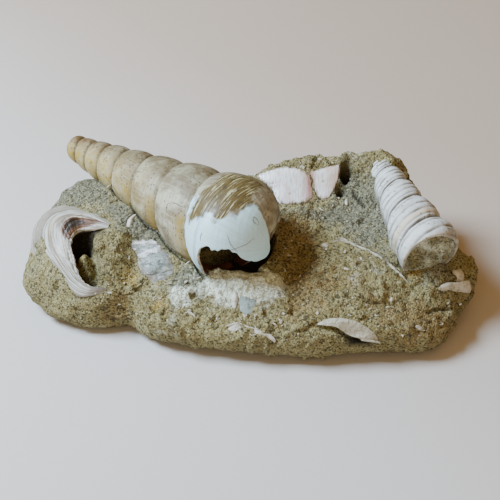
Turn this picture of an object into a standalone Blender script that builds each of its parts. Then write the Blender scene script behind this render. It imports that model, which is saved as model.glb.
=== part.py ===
"""Fossil shell block: a hand-sized lump of shelly sandstone with the fossil shells that show on it.

X runs from left to right along the block, Y from front to back, and Z up. The origin lies on the
surface that the block rests on, under the middle of its box. Shapes are worked out in millimetres
and stored in metres.
"""

import math

import bmesh
import bpy
import numpy as np

MM = 0.001
FIT_GAP = 0.3
FRAME_SHIFT = np.array([-0.05, 2.03, 0.0])
SKY = 6.0

# The stone. Its widest outline runs anticlockwise from the nose at the right: x, y, the height of
# the widest line, and how square the shoulder above it is.
STONE_MIDDLE = np.array([0.0, -5.0])
STONE_RIM = [
    (79.0, -11.0, 12.0, 2.6),
    (74.0, 0.0, 14.0, 2.8),
    (67.0, 12.0, 16.0, 3.2),
    (59.0, 21.0, 18.0, 4.5),
    (55.5, 31.0, 18.0, 8.0),
    (40.0, 33.5, 16.0, 9.0),
    (20.0, 31.0, 15.0, 8.0),
    (0.0, 29.0, 14.0, 6.0),
    (-20.0, 28.0, 13.0, 6.0),
    (-40.0, 29.0, 13.0, 7.0),
    (-57.0, 28.5, 13.0, 7.0),
    (-70.0, 21.0, 13.0, 5.5),
    (-75.5, 6.0, 13.0, 3.4),
    (-78.5, -10.0, 10.0, 2.6),
    (-70.0, -20.5, 6.5, 2.3),
    (-56.0, -26.5, 6.0, 2.2),
    (-44.0, -25.5, 6.5, 2.2),
    (-32.0, -34.0, 5.0, 2.2),
    (-16.0, -38.0, 4.5, 2.1),
    (2.0, -41.0, 4.5, 2.1),
    (24.0, -42.5, 4.5, 2.1),
    (45.0, -40.5, 6.0, 2.2),
    (62.0, -38.0, 5.0, 2.3),
    (71.5, -25.0, 7.0, 2.4),
]
STONE_STEPS_ROUND = 84
STONE_STEPS_TOP = 15
STONE_STEPS_UNDER = 5
TOP_LEVEL = 26.0
TOP_SLOPE_BACK = 0.12
UNDER_SQUARENESS = 3.5
ROUGHNESS = 0.9
ROUGH_SIZE = 9.0

# Relief of the top: x, y, reach along, reach across, turn in degrees, rise, and steepness of the
# edge (1 is a soft swell, 3 or more a steep wall).
RELIEF = {
    "snail mound": (-60.0, -8.0, 20.0, 16.0, 0.0, 3.0, 1),
    "filled whorl": (-47.0, -12.0, 8.0, 12.0, 10.0, 3.5, 1),
    "notch valley": (-42.0, -24.0, 4.5, 13.0, -12.0, -6.0, 1),
    "left shelf": (-60.0, 20.0, 16.0, 9.0, 0.0, 2.0, 1),
    "pink ridge": (18.0, 27.5, 21.0, 8.0, 3.0, 7.6, 1),
    "right back ridge": (49.0, 28.0, 15.0, 11.0, -20.0, 7.8, 1),
    "ribbed shell bank": (52.0, 6.0, 24.0, 7.0, -71.0, 5.0, 1),
    "smooth shell bank": (-39.0, 5.0, 26.0, 7.0, -42.0, 4.0, 1),
    "grey hollow": (32.0, 8.0, 17.0, 11.0, -30.0, -2.5, 1),
    "mouth plateau": (-4.0, -24.0, 13.0, 6.0, -10.0, 1.5, 1),
    "brown valley": (15.0, -16.0, 7.0, 15.0, -25.0, -3.5, 1),
    "middle swell": (36.0, -22.0, 20.0, 13.0, 0.0, 3.0, 1),
    "front left swell": (-26.0, -26.0, 10.0, 9.0, 0.0, 2.0, 1),
    "right nose": (72.0, -16.0, 9.0, 13.0, 0.0, -1.0, 1),
    "deep hole": (34.4, 22.5, 2.2, 4.0, -10.0, -11.0, 3),
    "small hole": (32.0, 13.0, 2.2, 2.0, 0.0, -4.0, 3),
    "valve hollow": (37.0, -40.0, 6.0, 2.2, -14.0, -5.0, 2),
    "snail hollow": (-57.5, -9.5, 5.6, 10.5, 8.0, -14.0, 3),
    "snail tongue": (-58.0, -10.0, 3.0, 6.0, 8.0, 5.0, 1),
}

# The big smooth turret shell. Distances run along its axis from the point where its cone ends.
TURRET = {
    "at": (-17.4, 0.5, 33.0),
    "at_run": 87.5,
    "turn_deg": -42.0,
    "climb_deg": 3.0,
    "slope": 0.166,
    "growth": 1.219,
    "swell": 0.11,
    "phase": -0.218,
    "tip_run": 20.6,
    "tip_round": 3.0,
    "base_run": 101.0,
    "end_run": 120.0,
}
TURRET_STEPS_ALONG = 42
TURRET_STEPS_ROUND = 20
TURRET_WALL = 1.8
HOLLOW_RUN = (91.0, 117.8)
MOUTH_RUN = 103.5
LIP_RISE = 2.5
LIP_BACK = 8.0
PLATEAU_DROP = 11.3
SEAT_GAP = 0.5

# The ribbed turret shell, half buried along the right-hand ridge.
RIBBED = {
    "at": (60.6, -13.1, 27.0),
    "at_run": 69.7,
    "turn_deg": -71.4,
    "climb_deg": -8.0,
    "slope": 0.150,
    "growth": 1.25,
    "swell": 0.10,
    "phase": 0.3,
    "tip_run": 26.7,
    "tip_round": 1.0,
    "base_run": 69.7,
    "end_run": 70.2,
}
RIBBED_STEPS_ALONG = 34
RIBBED_STEPS_ROUND = 16

# The broken moon snail: the wall of its last whorl, as a tapering tube round the hollow.
# x, y, z, radius.
SNAIL_PATH = [
    (-48.5, 1.5, 27.5, 1.0),
    (-53.5, 2.5, 27.5, 2.0),
    (-58.0, 2.5, 27.0, 3.5),
    (-63.0, 2.0, 26.5, 4.6),
    (-67.0, -2.0, 25.0, 5.4),
    (-66.5, -7.5, 23.5, 5.0),
    (-65.0, -13.0, 21.5, 4.0),
    (-61.5, -18.0, 19.5, 3.2),
    (-58.0, -21.0, 17.5, 2.5),
    (-54.0, -22.5, 16.0, 1.9),
    (-49.5, -21.5, 15.0, 1.1),
]
SNAIL_STEPS_ALONG = 22
SNAIL_STEPS_ROUND = 10

# Pieces of shell that lie in the surface of the stone: outline in plan, how far the edge and the
# middle stand proud of the stone, and how deep the piece goes.
INLAYS = {
    "pink_shell_large_fragment": (
        [
            (3.5, 22.5), (7.5, 24.0), (12.0, 24.0), (16.5, 23.5),
            (19.0, 22.5), (21.5, 20.5), (22.0, 16.5), (21.5, 15.5),
            (19.0, 13.5), (15.0, 12.5), (10.5, 12.0), (8.5, 17.0),
            (6.0, 19.5),
        ],
        0.4,
        1.4,
        1.6,
    ),
    "pink_shell_small_fragment": (
        [
            (22.0, 22.0), (23.0, 19.5), (23.0, 17.0), (24.0, 16.0), (26.5, 15.5), (28.5, 16.0),
            (30.0, 18.5), (31.0, 22.0), (31.0, 25.0), (29.0, 24.0), (27.0, 23.5), (24.0, 22.5),
        ],
        0.4,
        1.0,
        1.4,
    ),
    "grey_oyster_fragment": (
        [
            (-40.5, -8.0), (-38.0, -6.5), (-33.5, -7.5), (-30.0, -10.5),
            (-27.5, -13.5), (-26.0, -18.5), (-28.5, -21.0), (-33.0, -21.0),
            (-37.0, -17.5), (-38.5, -12.0),
        ],
        0.4,
        1.2,
        1.8,
    ),
    "white_nub": (
        [
            (-43.0, 0.5), (-41.5, 2.5), (-38.0, 2.0), (-37.5, -1.5),
            (-39.5, -3.5), (-42.0, -2.5),
        ],
        0.4,
        1.6,
        1.2,
    ),
    "diamond_shard": (
        [(-6.5, -30.0), (-5.0, -27.5), (-4.0, -30.0), (-5.0, -32.5)],
        0.4,
        1.1,
        1.2,
    ),
    "blue_grey_shard": (
        [(-3.0, -29.0), (2.0, -30.0), (0.0, -34.0), (-3.5, -33.0)],
        0.2,
        0.6,
        1.2,
    ),
    "white_bar_shard": (
        [
            (64.5, -22.5), (69.0, -18.0), (73.0, -16.5), (76.0, -15.5),
            (76.0, -17.5), (69.0, -20.0),
        ],
        0.4,
        1.3,
        1.6,
    ),
    "clam_valve": (
        [
            (24.5, -37.0), (28.5, -35.5), (33.0, -35.5), (37.0, -36.0),
            (41.0, -38.0), (43.0, -40.0), (38.5, -38.5), (32.0, -37.0),
        ],
        0.8,
        1.8,
        0.8,
    ),
}
INLAY_STEPS_ROUND = 16
INLAY_RINGS = 2

# A buried valve that shows as a thin curved edge: points in plan.
BLADE_PATH = [(28.5, -5.0), (33.0, -5.5), (38.0, -8.5), (43.0, -12.5), (47.5, -16.5), (54.0, -22.0)]
BLADE_WIDTH = 0.8
BLADE_PROUD = 0.7
BLADE_DEPTH = 2.5
BLADE_STEPS = 14


def spline(points, at, closed=False):
    """A Catmull-Rom curve through the points. at counts points, so 0 is the first one."""
    points = np.asarray(points, float)
    last = len(points) - 1
    at = np.asarray(at, float)
    i = np.floor(at).astype(int) if closed else np.clip(np.floor(at).astype(int), 0, last - 1)
    t = (at - i)[:, None]
    near = [i + k for k in (-1, 0, 1, 2)]
    near = [n % len(points) if closed else np.clip(n, 0, last) for n in near]
    p0, p1, p2, p3 = (points[n] for n in near)
    return 0.5 * (
        2 * p1
        + (p2 - p0) * t
        + (2 * p0 - 5 * p1 + 4 * p2 - p3) * t**2
        + (3 * p1 - p0 - 3 * p2 + p3) * t**3
    )


def rim_by_angle():
    """The rim as tables against the angle round the stone's middle: distance, height, squareness."""
    fine = spline(STONE_RIM, np.arange(0, len(STONE_RIM), 0.05), closed=True)
    out = fine[:, :2] - STONE_MIDDLE
    angle = np.arctan2(out[:, 1], out[:, 0])
    order = np.argsort(angle)
    return angle[order], np.hypot(*out.T)[order], fine[order, 2], fine[order, 3]


RIM_TABLE = rim_by_angle()


def rim_at(angle):
    """Distance of the rim from the middle, its height and its squareness at these angles."""
    angles, *columns = RIM_TABLE
    return [np.interp(angle, angles, column, period=2 * math.pi) for column in columns]


def lattice(i, seed):
    """A fixed pseudo-random number from 0 to 1 for each whole-number point."""
    i = i.astype(np.int64)
    h = i[..., 0] * 374761393 + i[..., 1] * 668265263 + i[..., 2] * 2147483647 + seed * 974634777
    h = (h ^ (h >> 13)) * 1274126177
    return ((h ^ (h >> 16)) & 0xFFFF) / 0xFFFF


def noise(p, size, seed):
    """Smooth noise from -1 to 1: random values on a lattice of that size, blended between."""
    p = p / size
    i = np.floor(p)
    f = p - i
    f = f * f * (3 - 2 * f)
    total = 0.0
    for corner in np.ndindex(2, 2, 2):
        c = np.array(corner)
        weight = np.prod(np.where(c == 1, f, 1 - f), axis=-1)
        total = total + weight * lattice(i + c, seed)
    return 2 * total - 1


def relief(x, y):
    """Height of the top without its rounded edge: a slope plus the named swells and hollows."""
    height = TOP_LEVEL + TOP_SLOPE_BACK * y
    for cx, cy, along, across, turn, rise, steepness in RELIEF.values():
        c, s = math.cos(math.radians(turn)), math.sin(math.radians(turn))
        a = ((x - cx) * c + (y - cy) * s) / along
        b = ((y - cy) * c - (x - cx) * s) / across
        height = height + rise * np.exp(-((a * a + b * b) ** steepness))
    return height


def surface(x, y):
    """Height of the stone's upper face: the relief, falling to the rim as a superellipse does."""
    dx, dy = x - STONE_MIDDLE[0], y - STONE_MIDDLE[1]
    reach, low, square = rim_at(np.arctan2(dy, dx))
    share = np.clip(np.hypot(dx, dy) / reach, 0, 1)
    return low + (relief(x, y) - low) * (1 - share**square) ** (1 / square)


def closed_grid(rows, first, last):
    """Vertices and faces of a closed skin: rings of points between two end points."""
    count, around = len(rows), len(rows[0])
    verts = np.vstack([[first], rows.reshape(-1, 3), [last]])
    faces = []
    for r in range(count - 1):
        for k in range(around):
            a, b = 1 + r * around + k, 1 + r * around + (k + 1) % around
            faces.append((a, b, b + around, a + around))
    tail = 1 + (count - 1) * around
    for k in range(around):
        n = (k + 1) % around
        faces.append((0, 1 + n, 1 + k))
        faces.append((len(verts) - 1, tail + k, tail + n))
    return verts, faces


def stone_skin():
    """Rings of the stone from the middle of its top, over the rim, to the middle underneath."""
    angle = np.arange(STONE_STEPS_ROUND) * 2 * math.pi / STONE_STEPS_ROUND
    reach, low, _ = rim_at(angle)
    ray = np.stack([np.cos(angle), np.sin(angle)], -1)
    rows = []
    for step in np.arange(1, STONE_STEPS_TOP + 1) / STONE_STEPS_TOP:
        share = 1 - (1 - step) ** 2.2
        plan = STONE_MIDDLE + ray * (reach * share)[:, None]
        rows.append(np.column_stack([plan, surface(plan[:, 0], plan[:, 1])]))
    for step in np.arange(1, STONE_STEPS_UNDER) / STONE_STEPS_UNDER:
        share = 1 - step**1.6
        plan = STONE_MIDDLE + ray * (reach * share)[:, None]
        drop = (1 - share**UNDER_SQUARENESS) ** (1 / UNDER_SQUARENESS)
        rows.append(np.column_stack([plan, np.maximum(low * (1 - 1.12 * drop), 0.0)]))
    rows = np.array(rows)
    rough = noise(rows, ROUGH_SIZE, 1) + 0.5 * noise(rows, ROUGH_SIZE / 2, 2)
    lift = np.clip(rows[..., 2] / 6.0, 0, 1)
    rows[..., 2] += ROUGHNESS * rough * lift
    outward = rows[..., :2] - STONE_MIDDLE
    outward /= np.linalg.norm(outward, axis=-1, keepdims=True)
    side = np.clip(1.6 - np.abs(np.arange(len(rows)) - STONE_STEPS_TOP) / 4.0, 0, 1)
    push = ROUGHNESS * 1.3 * noise(rows, ROUGH_SIZE, 3)
    rows[..., :2] += outward * (push * side[:, None])[..., None]
    top = [*STONE_MIDDLE, surface(*STONE_MIDDLE)]
    return closed_grid(rows, top, [*STONE_MIDDLE, 0.0])


def shell_axes(shell):
    """Unit vectors of a turret shell: along its axis from tip to base, up, and to its side."""
    turn, climb = math.radians(shell["turn_deg"]), math.radians(shell["climb_deg"])
    along = np.array([math.cos(climb) * math.cos(turn), math.cos(climb) * math.sin(turn), math.sin(climb)])
    up = np.array([0.0, 0.0, 1.0]) - along * along[2]
    up /= np.linalg.norm(up)
    return along, up, np.cross(along, up)


def whorl_radius(shell, run, turn):
    """Radius of a turret shell: a cone whose whorls swell between the turns of a right-hand screw.

    Each whorl is growth times as large as the one before, so the place within a whorl is the
    logarithm of the run, less the turn.
    """
    place = np.log(run / shell["at_run"]) / math.log(shell["growth"]) - turn / (2 * math.pi) + shell["phase"]
    part = place - np.floor(place)
    swell = 1 - np.abs(2 * part - 1) ** 2.4
    radius = run * shell["slope"] * (1 + shell["swell"] * swell)
    end = np.clip((run - shell["base_run"]) / (shell["end_run"] - shell["base_run"]), 0, 1)
    tip = np.clip((shell["tip_run"] + shell["tip_round"] - run) / shell["tip_round"], 0, 1)
    return radius * np.sqrt(1 - end**2) * np.sqrt(1 - tip**2)


def turret_runs(shell, steps):
    """Runs of the rings along a turret shell: close at the tip, then growing, then round the base."""
    tip = shell["tip_run"] + shell["tip_round"] * np.array([0.12, 0.45])
    whorls = np.geomspace(shell["tip_run"] + shell["tip_round"], shell["base_run"], steps)
    closing = np.sin(np.radians([28.0, 50.0, 68.0, 82.0]))
    base = shell["base_run"] + (shell["end_run"] - shell["base_run"]) * closing
    return np.concatenate([tip, whorls, base])


def turret_skin(shell, runs, steps_round, grow=0.0):
    """Rings of a turret shell at those runs, grown outwards and closed by a point at each end."""
    along, up, side = shell_axes(shell)
    origin = np.array(shell["at"]) - along * shell["at_run"]
    turn = np.arange(steps_round)[None] * 2 * math.pi / steps_round
    radius = whorl_radius(shell, runs[:, None], turn) + grow
    across = np.cos(turn)[..., None] * up + np.sin(turn)[..., None] * side
    rows = origin + runs[:, None, None] * along + radius[..., None] * across
    first = origin + (min(shell["tip_run"], runs[0]) - grow) * along
    last = origin + (max(shell["end_run"], runs[-1]) + grow) * along
    return closed_grid(rows, first, last)


def hollow_skin(shell, first, last, steps_round, wall):
    """The air inside a turret shell between two runs, one wall in from its skin."""
    along, up, side = shell_axes(shell)
    origin = np.array(shell["at"]) - along * shell["at_run"]
    runs = first + (last - first) * np.sin(np.linspace(0, math.pi / 2, 12))
    turn = np.arange(steps_round)[None] * 2 * math.pi / steps_round
    radius = np.maximum(whorl_radius(shell, runs[:, None], turn) - wall, 1.0)
    across = np.cos(turn)[..., None] * up + np.sin(turn)[..., None] * side
    rows = origin + runs[:, None, None] * along + radius[..., None] * across
    return closed_grid(rows, origin + (first - 0.5) * along, origin + (last + 0.3) * along)


def shell_block(shell, runs, sides, rises):
    """A box set square to a turret shell: its limits along the axis, to the side, and up."""
    along, up, side = shell_axes(shell)
    origin = np.array(shell["at"]) - along * shell["at_run"]
    verts = [origin + r * along + a * side + h * up for r in runs for a in sides for h in rises]
    faces = [(0, 1, 3, 2), (4, 6, 7, 5), (0, 4, 5, 1), (2, 3, 7, 6), (0, 2, 6, 4), (1, 5, 7, 3)]
    return np.array(verts), faces


def snail_skin(grow=0.0):
    """A tapering tube along the snail's path, lying on the stone."""
    count = len(SNAIL_PATH) - 1
    path = spline(SNAIL_PATH, np.linspace(0, count, SNAIL_STEPS_ALONG))
    middle = path[:, :3]
    ahead = np.gradient(middle, axis=0)
    ahead /= np.linalg.norm(ahead, axis=1, keepdims=True)
    side = np.cross(ahead, [0.0, 0.0, 1.0])
    side /= np.linalg.norm(side, axis=1, keepdims=True)
    over = np.cross(side, ahead)
    turn = np.arange(SNAIL_STEPS_ROUND) * 2 * math.pi / SNAIL_STEPS_ROUND
    radius = (path[:, 3] + grow)[:, None, None]
    across = np.cos(turn)[None, :, None] * side[:, None] + np.sin(turn)[None, :, None] * over[:, None]
    rows = middle[:, None] + radius * across
    first = middle[0] - ahead[0] * (path[0, 3] * 0.8 + grow)
    last = middle[-1] + ahead[-1] * (path[-1, 3] * 0.8 + grow)
    return closed_grid(rows, first, last)


def inlay_skin(outline, edge, middle, depth, grow=0.0, top=0.0):
    """A piece lying in the stone's surface: rings from its middle to its outline, and back under it.

    Its upper face follows the stone, edge above it at the outline and rising to the middle as a
    parabola does. top lifts that face further, for a cutter that clears the stone over the piece.
    """
    outline = np.array(outline, float)
    centre = outline.mean(0)
    if np.cross(outline[0] - centre, outline[1] - centre) < 0:
        outline = outline[::-1]
    loop = np.vstack([outline, outline[:1]])
    leg = np.linalg.norm(np.diff(loop, axis=0), axis=1)
    along = np.concatenate([[0], np.cumsum(leg)])
    even = np.arange(INLAY_STEPS_ROUND) * along[-1] / INLAY_STEPS_ROUND
    ring = np.column_stack([np.interp(even, along, loop[:, k]) for k in (0, 1)])
    ahead = np.roll(ring, -1, axis=0) - np.roll(ring, 1, axis=0)
    ahead /= np.linalg.norm(ahead, axis=1, keepdims=True)
    out = ring + np.column_stack([ahead[:, 1], -ahead[:, 0]]) * grow - centre
    steps = np.arange(1, INLAY_RINGS + 1) / INLAY_RINGS
    rows = []
    for step in steps:
        plan = centre + out * step
        proud = edge + (middle - edge) * (1 - step**2) + top
        rows.append(np.column_stack([plan, surface(*plan.T) + proud]))
    for step in steps[::-1]:
        plan = centre + out * step
        rows.append(np.column_stack([plan, surface(*plan.T) - depth - 1.5 * grow]))
    level = surface(*centre)
    return closed_grid(np.array(rows), [*centre, level + middle + top], [*centre, level - depth - 1.5 * grow])


def strip_skin(left, right, upper, lower):
    """A closed skin round a strip: its two long edges in plan, and its upper and lower heights."""
    rows = np.stack(
        [
            np.column_stack([left, upper]),
            np.column_stack([left, lower]),
            np.column_stack([right, lower]),
            np.column_stack([right, upper]),
        ],
        axis=1,
    )
    return closed_grid(rows, rows[0].mean(0), rows[-1].mean(0))


def blade_skin(grow=0.0, top=0.0):
    """The buried valve's edge: an upright strip of even width along its path."""
    path = spline(BLADE_PATH, np.linspace(0, len(BLADE_PATH) - 1, BLADE_STEPS))
    ahead = np.gradient(path, axis=0)
    ahead /= np.linalg.norm(ahead, axis=1, keepdims=True)
    path[0] -= ahead[0] * grow
    path[-1] += ahead[-1] * grow
    aside = np.column_stack([-ahead[:, 1], ahead[:, 0]]) * (BLADE_WIDTH / 2 + grow)
    level = surface(*path.T)
    return strip_skin(path + aside, path - aside, level + BLADE_PROUD + top, level - BLADE_DEPTH - grow)


def material(name, colour, roughness):
    """A plain Principled material."""
    made = bpy.data.materials.new(name)
    made.use_nodes = True
    shader = made.node_tree.nodes["Principled BSDF"]
    shader.inputs["Base Color"].default_value = (*colour, 1.0)
    shader.inputs["Roughness"].default_value = roughness
    return made


def add_solid(name, skin, finish=None):
    """An object from vertices in millimetres and faces, with its faces turned outwards."""
    verts, faces = skin
    mesh = bpy.data.meshes.new(name)
    mesh.from_pydata(((np.asarray(verts) - FRAME_SHIFT) * MM).tolist(), [], faces)
    shape = bmesh.new()
    shape.from_mesh(mesh)
    bmesh.ops.recalc_face_normals(shape, faces=shape.faces)
    shape.to_mesh(mesh)
    shape.free()
    mesh.shade_smooth()
    mesh.set_sharp_from_angle(angle=math.radians(40))
    made = bpy.data.objects.new(name, mesh)
    bpy.context.scene.collection.objects.link(made)
    if finish:
        mesh.materials.append(finish)
    return made


def cut(solid, skin, name):
    """Cuts a closed skin out of a solid with a hidden cutter, which it returns."""
    cutter = add_solid(name + "_cutter", skin)
    cutter.hide_render = True
    cutter.display_type = "WIRE"
    boolean = solid.modifiers.new("cut " + name, "BOOLEAN")
    boolean.operation = "DIFFERENCE"
    boolean.solver = "EXACT"
    boolean.object = cutter
    return cutter


def build():
    """Makes every piece of the block."""
    for old in list(bpy.data.objects):
        bpy.data.objects.remove(old)
    sandstone = material("sandstone", (0.30, 0.25, 0.15), 0.95)
    smooth_shell = material("smooth_shell", (0.62, 0.58, 0.48), 0.6)
    ribbed_shell = material("ribbed_shell", (0.70, 0.72, 0.72), 0.6)
    snail_shell = material("snail_shell", (0.62, 0.60, 0.54), 0.5)
    pink_shell = material("pink_shell", (0.75, 0.68, 0.68), 0.35)
    grey_shell = material("grey_shell", (0.45, 0.47, 0.47), 0.5)
    white_shell = material("white_shell", (0.72, 0.70, 0.64), 0.5)
    inlay_finish = {
        "pink_shell_large_fragment": pink_shell,
        "pink_shell_small_fragment": pink_shell,
        "grey_oyster_fragment": grey_shell,
        "blue_grey_shard": grey_shell,
    }

    stone = add_solid("sandstone_matrix", stone_skin(), sandstone)
    turret_run = turret_runs(TURRET, TURRET_STEPS_ALONG)
    turret = add_solid("smooth_turret_shell", turret_skin(TURRET, turret_run, TURRET_STEPS_ROUND), smooth_shell)
    cut(turret, hollow_skin(TURRET, *HOLLOW_RUN, TURRET_STEPS_ROUND, TURRET_WALL), "whorl_hollow")
    beyond = TURRET["end_run"] + 4.0
    reach = TURRET["end_run"] * TURRET["slope"] * 1.4
    mouth = shell_block(TURRET, (MOUTH_RUN, beyond), (-LIP_BACK, reach), (-reach, LIP_RISE))
    cut(turret, mouth, "whorl_mouth")
    seat = cut(stone, turret_skin(TURRET, turret_run, TURRET_STEPS_ROUND, SEAT_GAP), "turret_seat")
    plateau_sides = (-LIP_BACK + SEAT_GAP, reach)
    plateau = shell_block(TURRET, (MOUTH_RUN + SEAT_GAP, beyond), plateau_sides, (-reach, -PLATEAU_DROP))
    cut(seat, plateau, "mouth_plateau")

    ribbed_run = turret_runs(RIBBED, RIBBED_STEPS_ALONG)
    add_solid("ribbed_turret_shell", turret_skin(RIBBED, ribbed_run, RIBBED_STEPS_ROUND), ribbed_shell)
    cut(stone, turret_skin(RIBBED, ribbed_run, RIBBED_STEPS_ROUND, SEAT_GAP), "ribbed_seat")

    add_solid("moon_snail_shell", snail_skin(), snail_shell)
    cut(stone, snail_skin(FIT_GAP), "snail_seat")

    for name, (outline, edge, middle, depth) in INLAYS.items():
        add_solid(name, inlay_skin(outline, edge, middle, depth), inlay_finish.get(name, white_shell))
        cut(stone, inlay_skin(outline, edge, middle, depth, FIT_GAP, SKY), name)

    add_solid("buried_valve_edge", blade_skin(), white_shell)
    cut(stone, blade_skin(FIT_GAP, SKY), "blade_slot")


build()
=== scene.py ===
"""Fossil shell block: the looks of a lump of shelly sandstone and the fossil shells that show on it.

Shapes are worked out in the block's own millimetres, as in its source, then moved into the frame and
turned into metres when a mesh is made.
"""

import math

import bpy
import numpy as np
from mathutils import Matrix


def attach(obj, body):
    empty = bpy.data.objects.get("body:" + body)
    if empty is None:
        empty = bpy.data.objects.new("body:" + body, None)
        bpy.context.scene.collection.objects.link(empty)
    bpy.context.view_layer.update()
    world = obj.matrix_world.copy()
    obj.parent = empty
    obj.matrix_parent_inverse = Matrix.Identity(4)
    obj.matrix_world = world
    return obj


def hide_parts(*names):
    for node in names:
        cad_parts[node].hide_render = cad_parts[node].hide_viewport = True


bl_info = {
    "name": "Fossil shell block",
    "version": (1, 0, 0),
    "blender": (4, 5, 0),
    "location": "3D View > Sidebar > Fossil block",
    "description": "Builds a lump of shelly sandstone with its fossil shells",
    "category": "Object",
}

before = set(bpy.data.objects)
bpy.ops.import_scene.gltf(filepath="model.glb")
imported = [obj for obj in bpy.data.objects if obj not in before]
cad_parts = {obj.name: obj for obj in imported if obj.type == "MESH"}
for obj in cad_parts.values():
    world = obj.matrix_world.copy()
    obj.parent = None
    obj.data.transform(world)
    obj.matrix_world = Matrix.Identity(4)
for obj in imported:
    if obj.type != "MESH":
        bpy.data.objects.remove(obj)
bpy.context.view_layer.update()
MM = 0.001
# Points closer than one of these steps are joined.
STEPS_PER_MM = 1000
FRAME_SHIFT = np.array([-0.05, 2.03, 0.0])

# The stone: its rim anticlockwise from the nose at the right, as x, y, height and squareness.
STONE_MIDDLE = np.array([0.0, -5.0])
STONE_RIM = [
    (79.0, -11.0, 12.0, 2.6),
    (74.0, 0.0, 14.0, 2.8),
    (67.0, 12.0, 16.0, 3.2),
    (59.0, 21.0, 18.0, 4.5),
    (55.5, 31.0, 18.0, 8.0),
    (40.0, 33.5, 16.0, 9.0),
    (20.0, 31.0, 15.0, 8.0),
    (0.0, 29.0, 14.0, 6.0),
    (-20.0, 28.0, 13.0, 6.0),
    (-40.0, 29.0, 13.0, 7.0),
    (-57.0, 28.5, 13.0, 7.0),
    (-70.0, 21.0, 13.0, 5.5),
    (-75.5, 6.0, 13.0, 3.4),
    (-78.5, -10.0, 10.0, 2.6),
    (-70.0, -20.5, 6.5, 2.3),
    (-56.0, -26.5, 7.5, 2.2),
    (-44.0, -25.5, 8.0, 2.2),
    (-32.0, -33.5, 8.0, 2.3),
    (-16.0, -37.5, 8.5, 2.2),
    (2.0, -40.5, 8.5, 2.2),
    (24.0, -42.0, 9.0, 2.2),
    (45.0, -40.0, 10.0, 2.4),
    (62.0, -38.0, 6.0, 2.4),
    (71.5, -25.0, 7.0, 2.4),
]
TOP_LEVEL = 26.0
TOP_SLOPE_BACK = 0.12
UNDER_SQUARENESS = 3.5

# Relief of the top: x, y, reach along, reach across, turn in degrees, rise, steepness of the edge.
RELIEF = {
    "snail mound": (-60.0, -8.0, 20.0, 16.0, 0.0, 3.0, 1),
    "filled whorl": (-47.0, -12.0, 8.0, 12.0, 10.0, 3.5, 1),
    "notch valley": (-42.0, -24.0, 4.5, 13.0, -12.0, -6.0, 1),
    "left shelf": (-60.0, 20.0, 16.0, 9.0, 0.0, 2.0, 1),
    "pink ridge": (18.0, 27.5, 21.0, 8.0, 3.0, 7.6, 1),
    "right back ridge": (49.0, 28.0, 15.0, 11.0, -20.0, 7.8, 1),
    "ribbed shell bank": (52.0, 6.0, 24.0, 7.0, -71.0, 5.0, 1),
    "smooth shell bank": (-39.0, 5.0, 26.0, 7.0, -42.0, 4.0, 1),
    "grey hollow": (32.0, 8.0, 17.0, 11.0, -30.0, -2.5, 1),
    "mouth plateau": (-4.0, -24.0, 13.0, 6.0, -10.0, 1.5, 1),
    "brown valley": (15.0, -16.0, 7.0, 15.0, -25.0, -3.5, 1),
    "middle swell": (36.0, -22.0, 20.0, 13.0, 0.0, 3.0, 1),
    "front left swell": (-26.0, -26.0, 10.0, 9.0, 0.0, 2.0, 1),
    "right nose": (72.0, -16.0, 9.0, 13.0, 0.0, -1.0, 1),
    "filling's foot": (65.0, -17.5, 6.0, 6.0, 0.0, 3.0, 1),
    "deep hole": (34.2, 23.8, 1.9, 3.0, -10.0, -11.0, 3),
    "small hole": (32.2, 18.0, 1.7, 1.6, 0.0, -3.5, 3),
    "valve hollow": (36.5, -40.8, 6.0, 1.7, -10.0, -8.0, 2),
    "snail hollow": (-56.8, -11.5, 4.6, 10.4, 15.0, -14.0, 4),
    "snail tongue": (-56.2, -13.5, 2.0, 4.5, 24.0, 6.5, 1),
    "snail slab": (-57.6, -10.2, 5.5, 3.4, 8.0, 8.0, 1),
}

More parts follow.
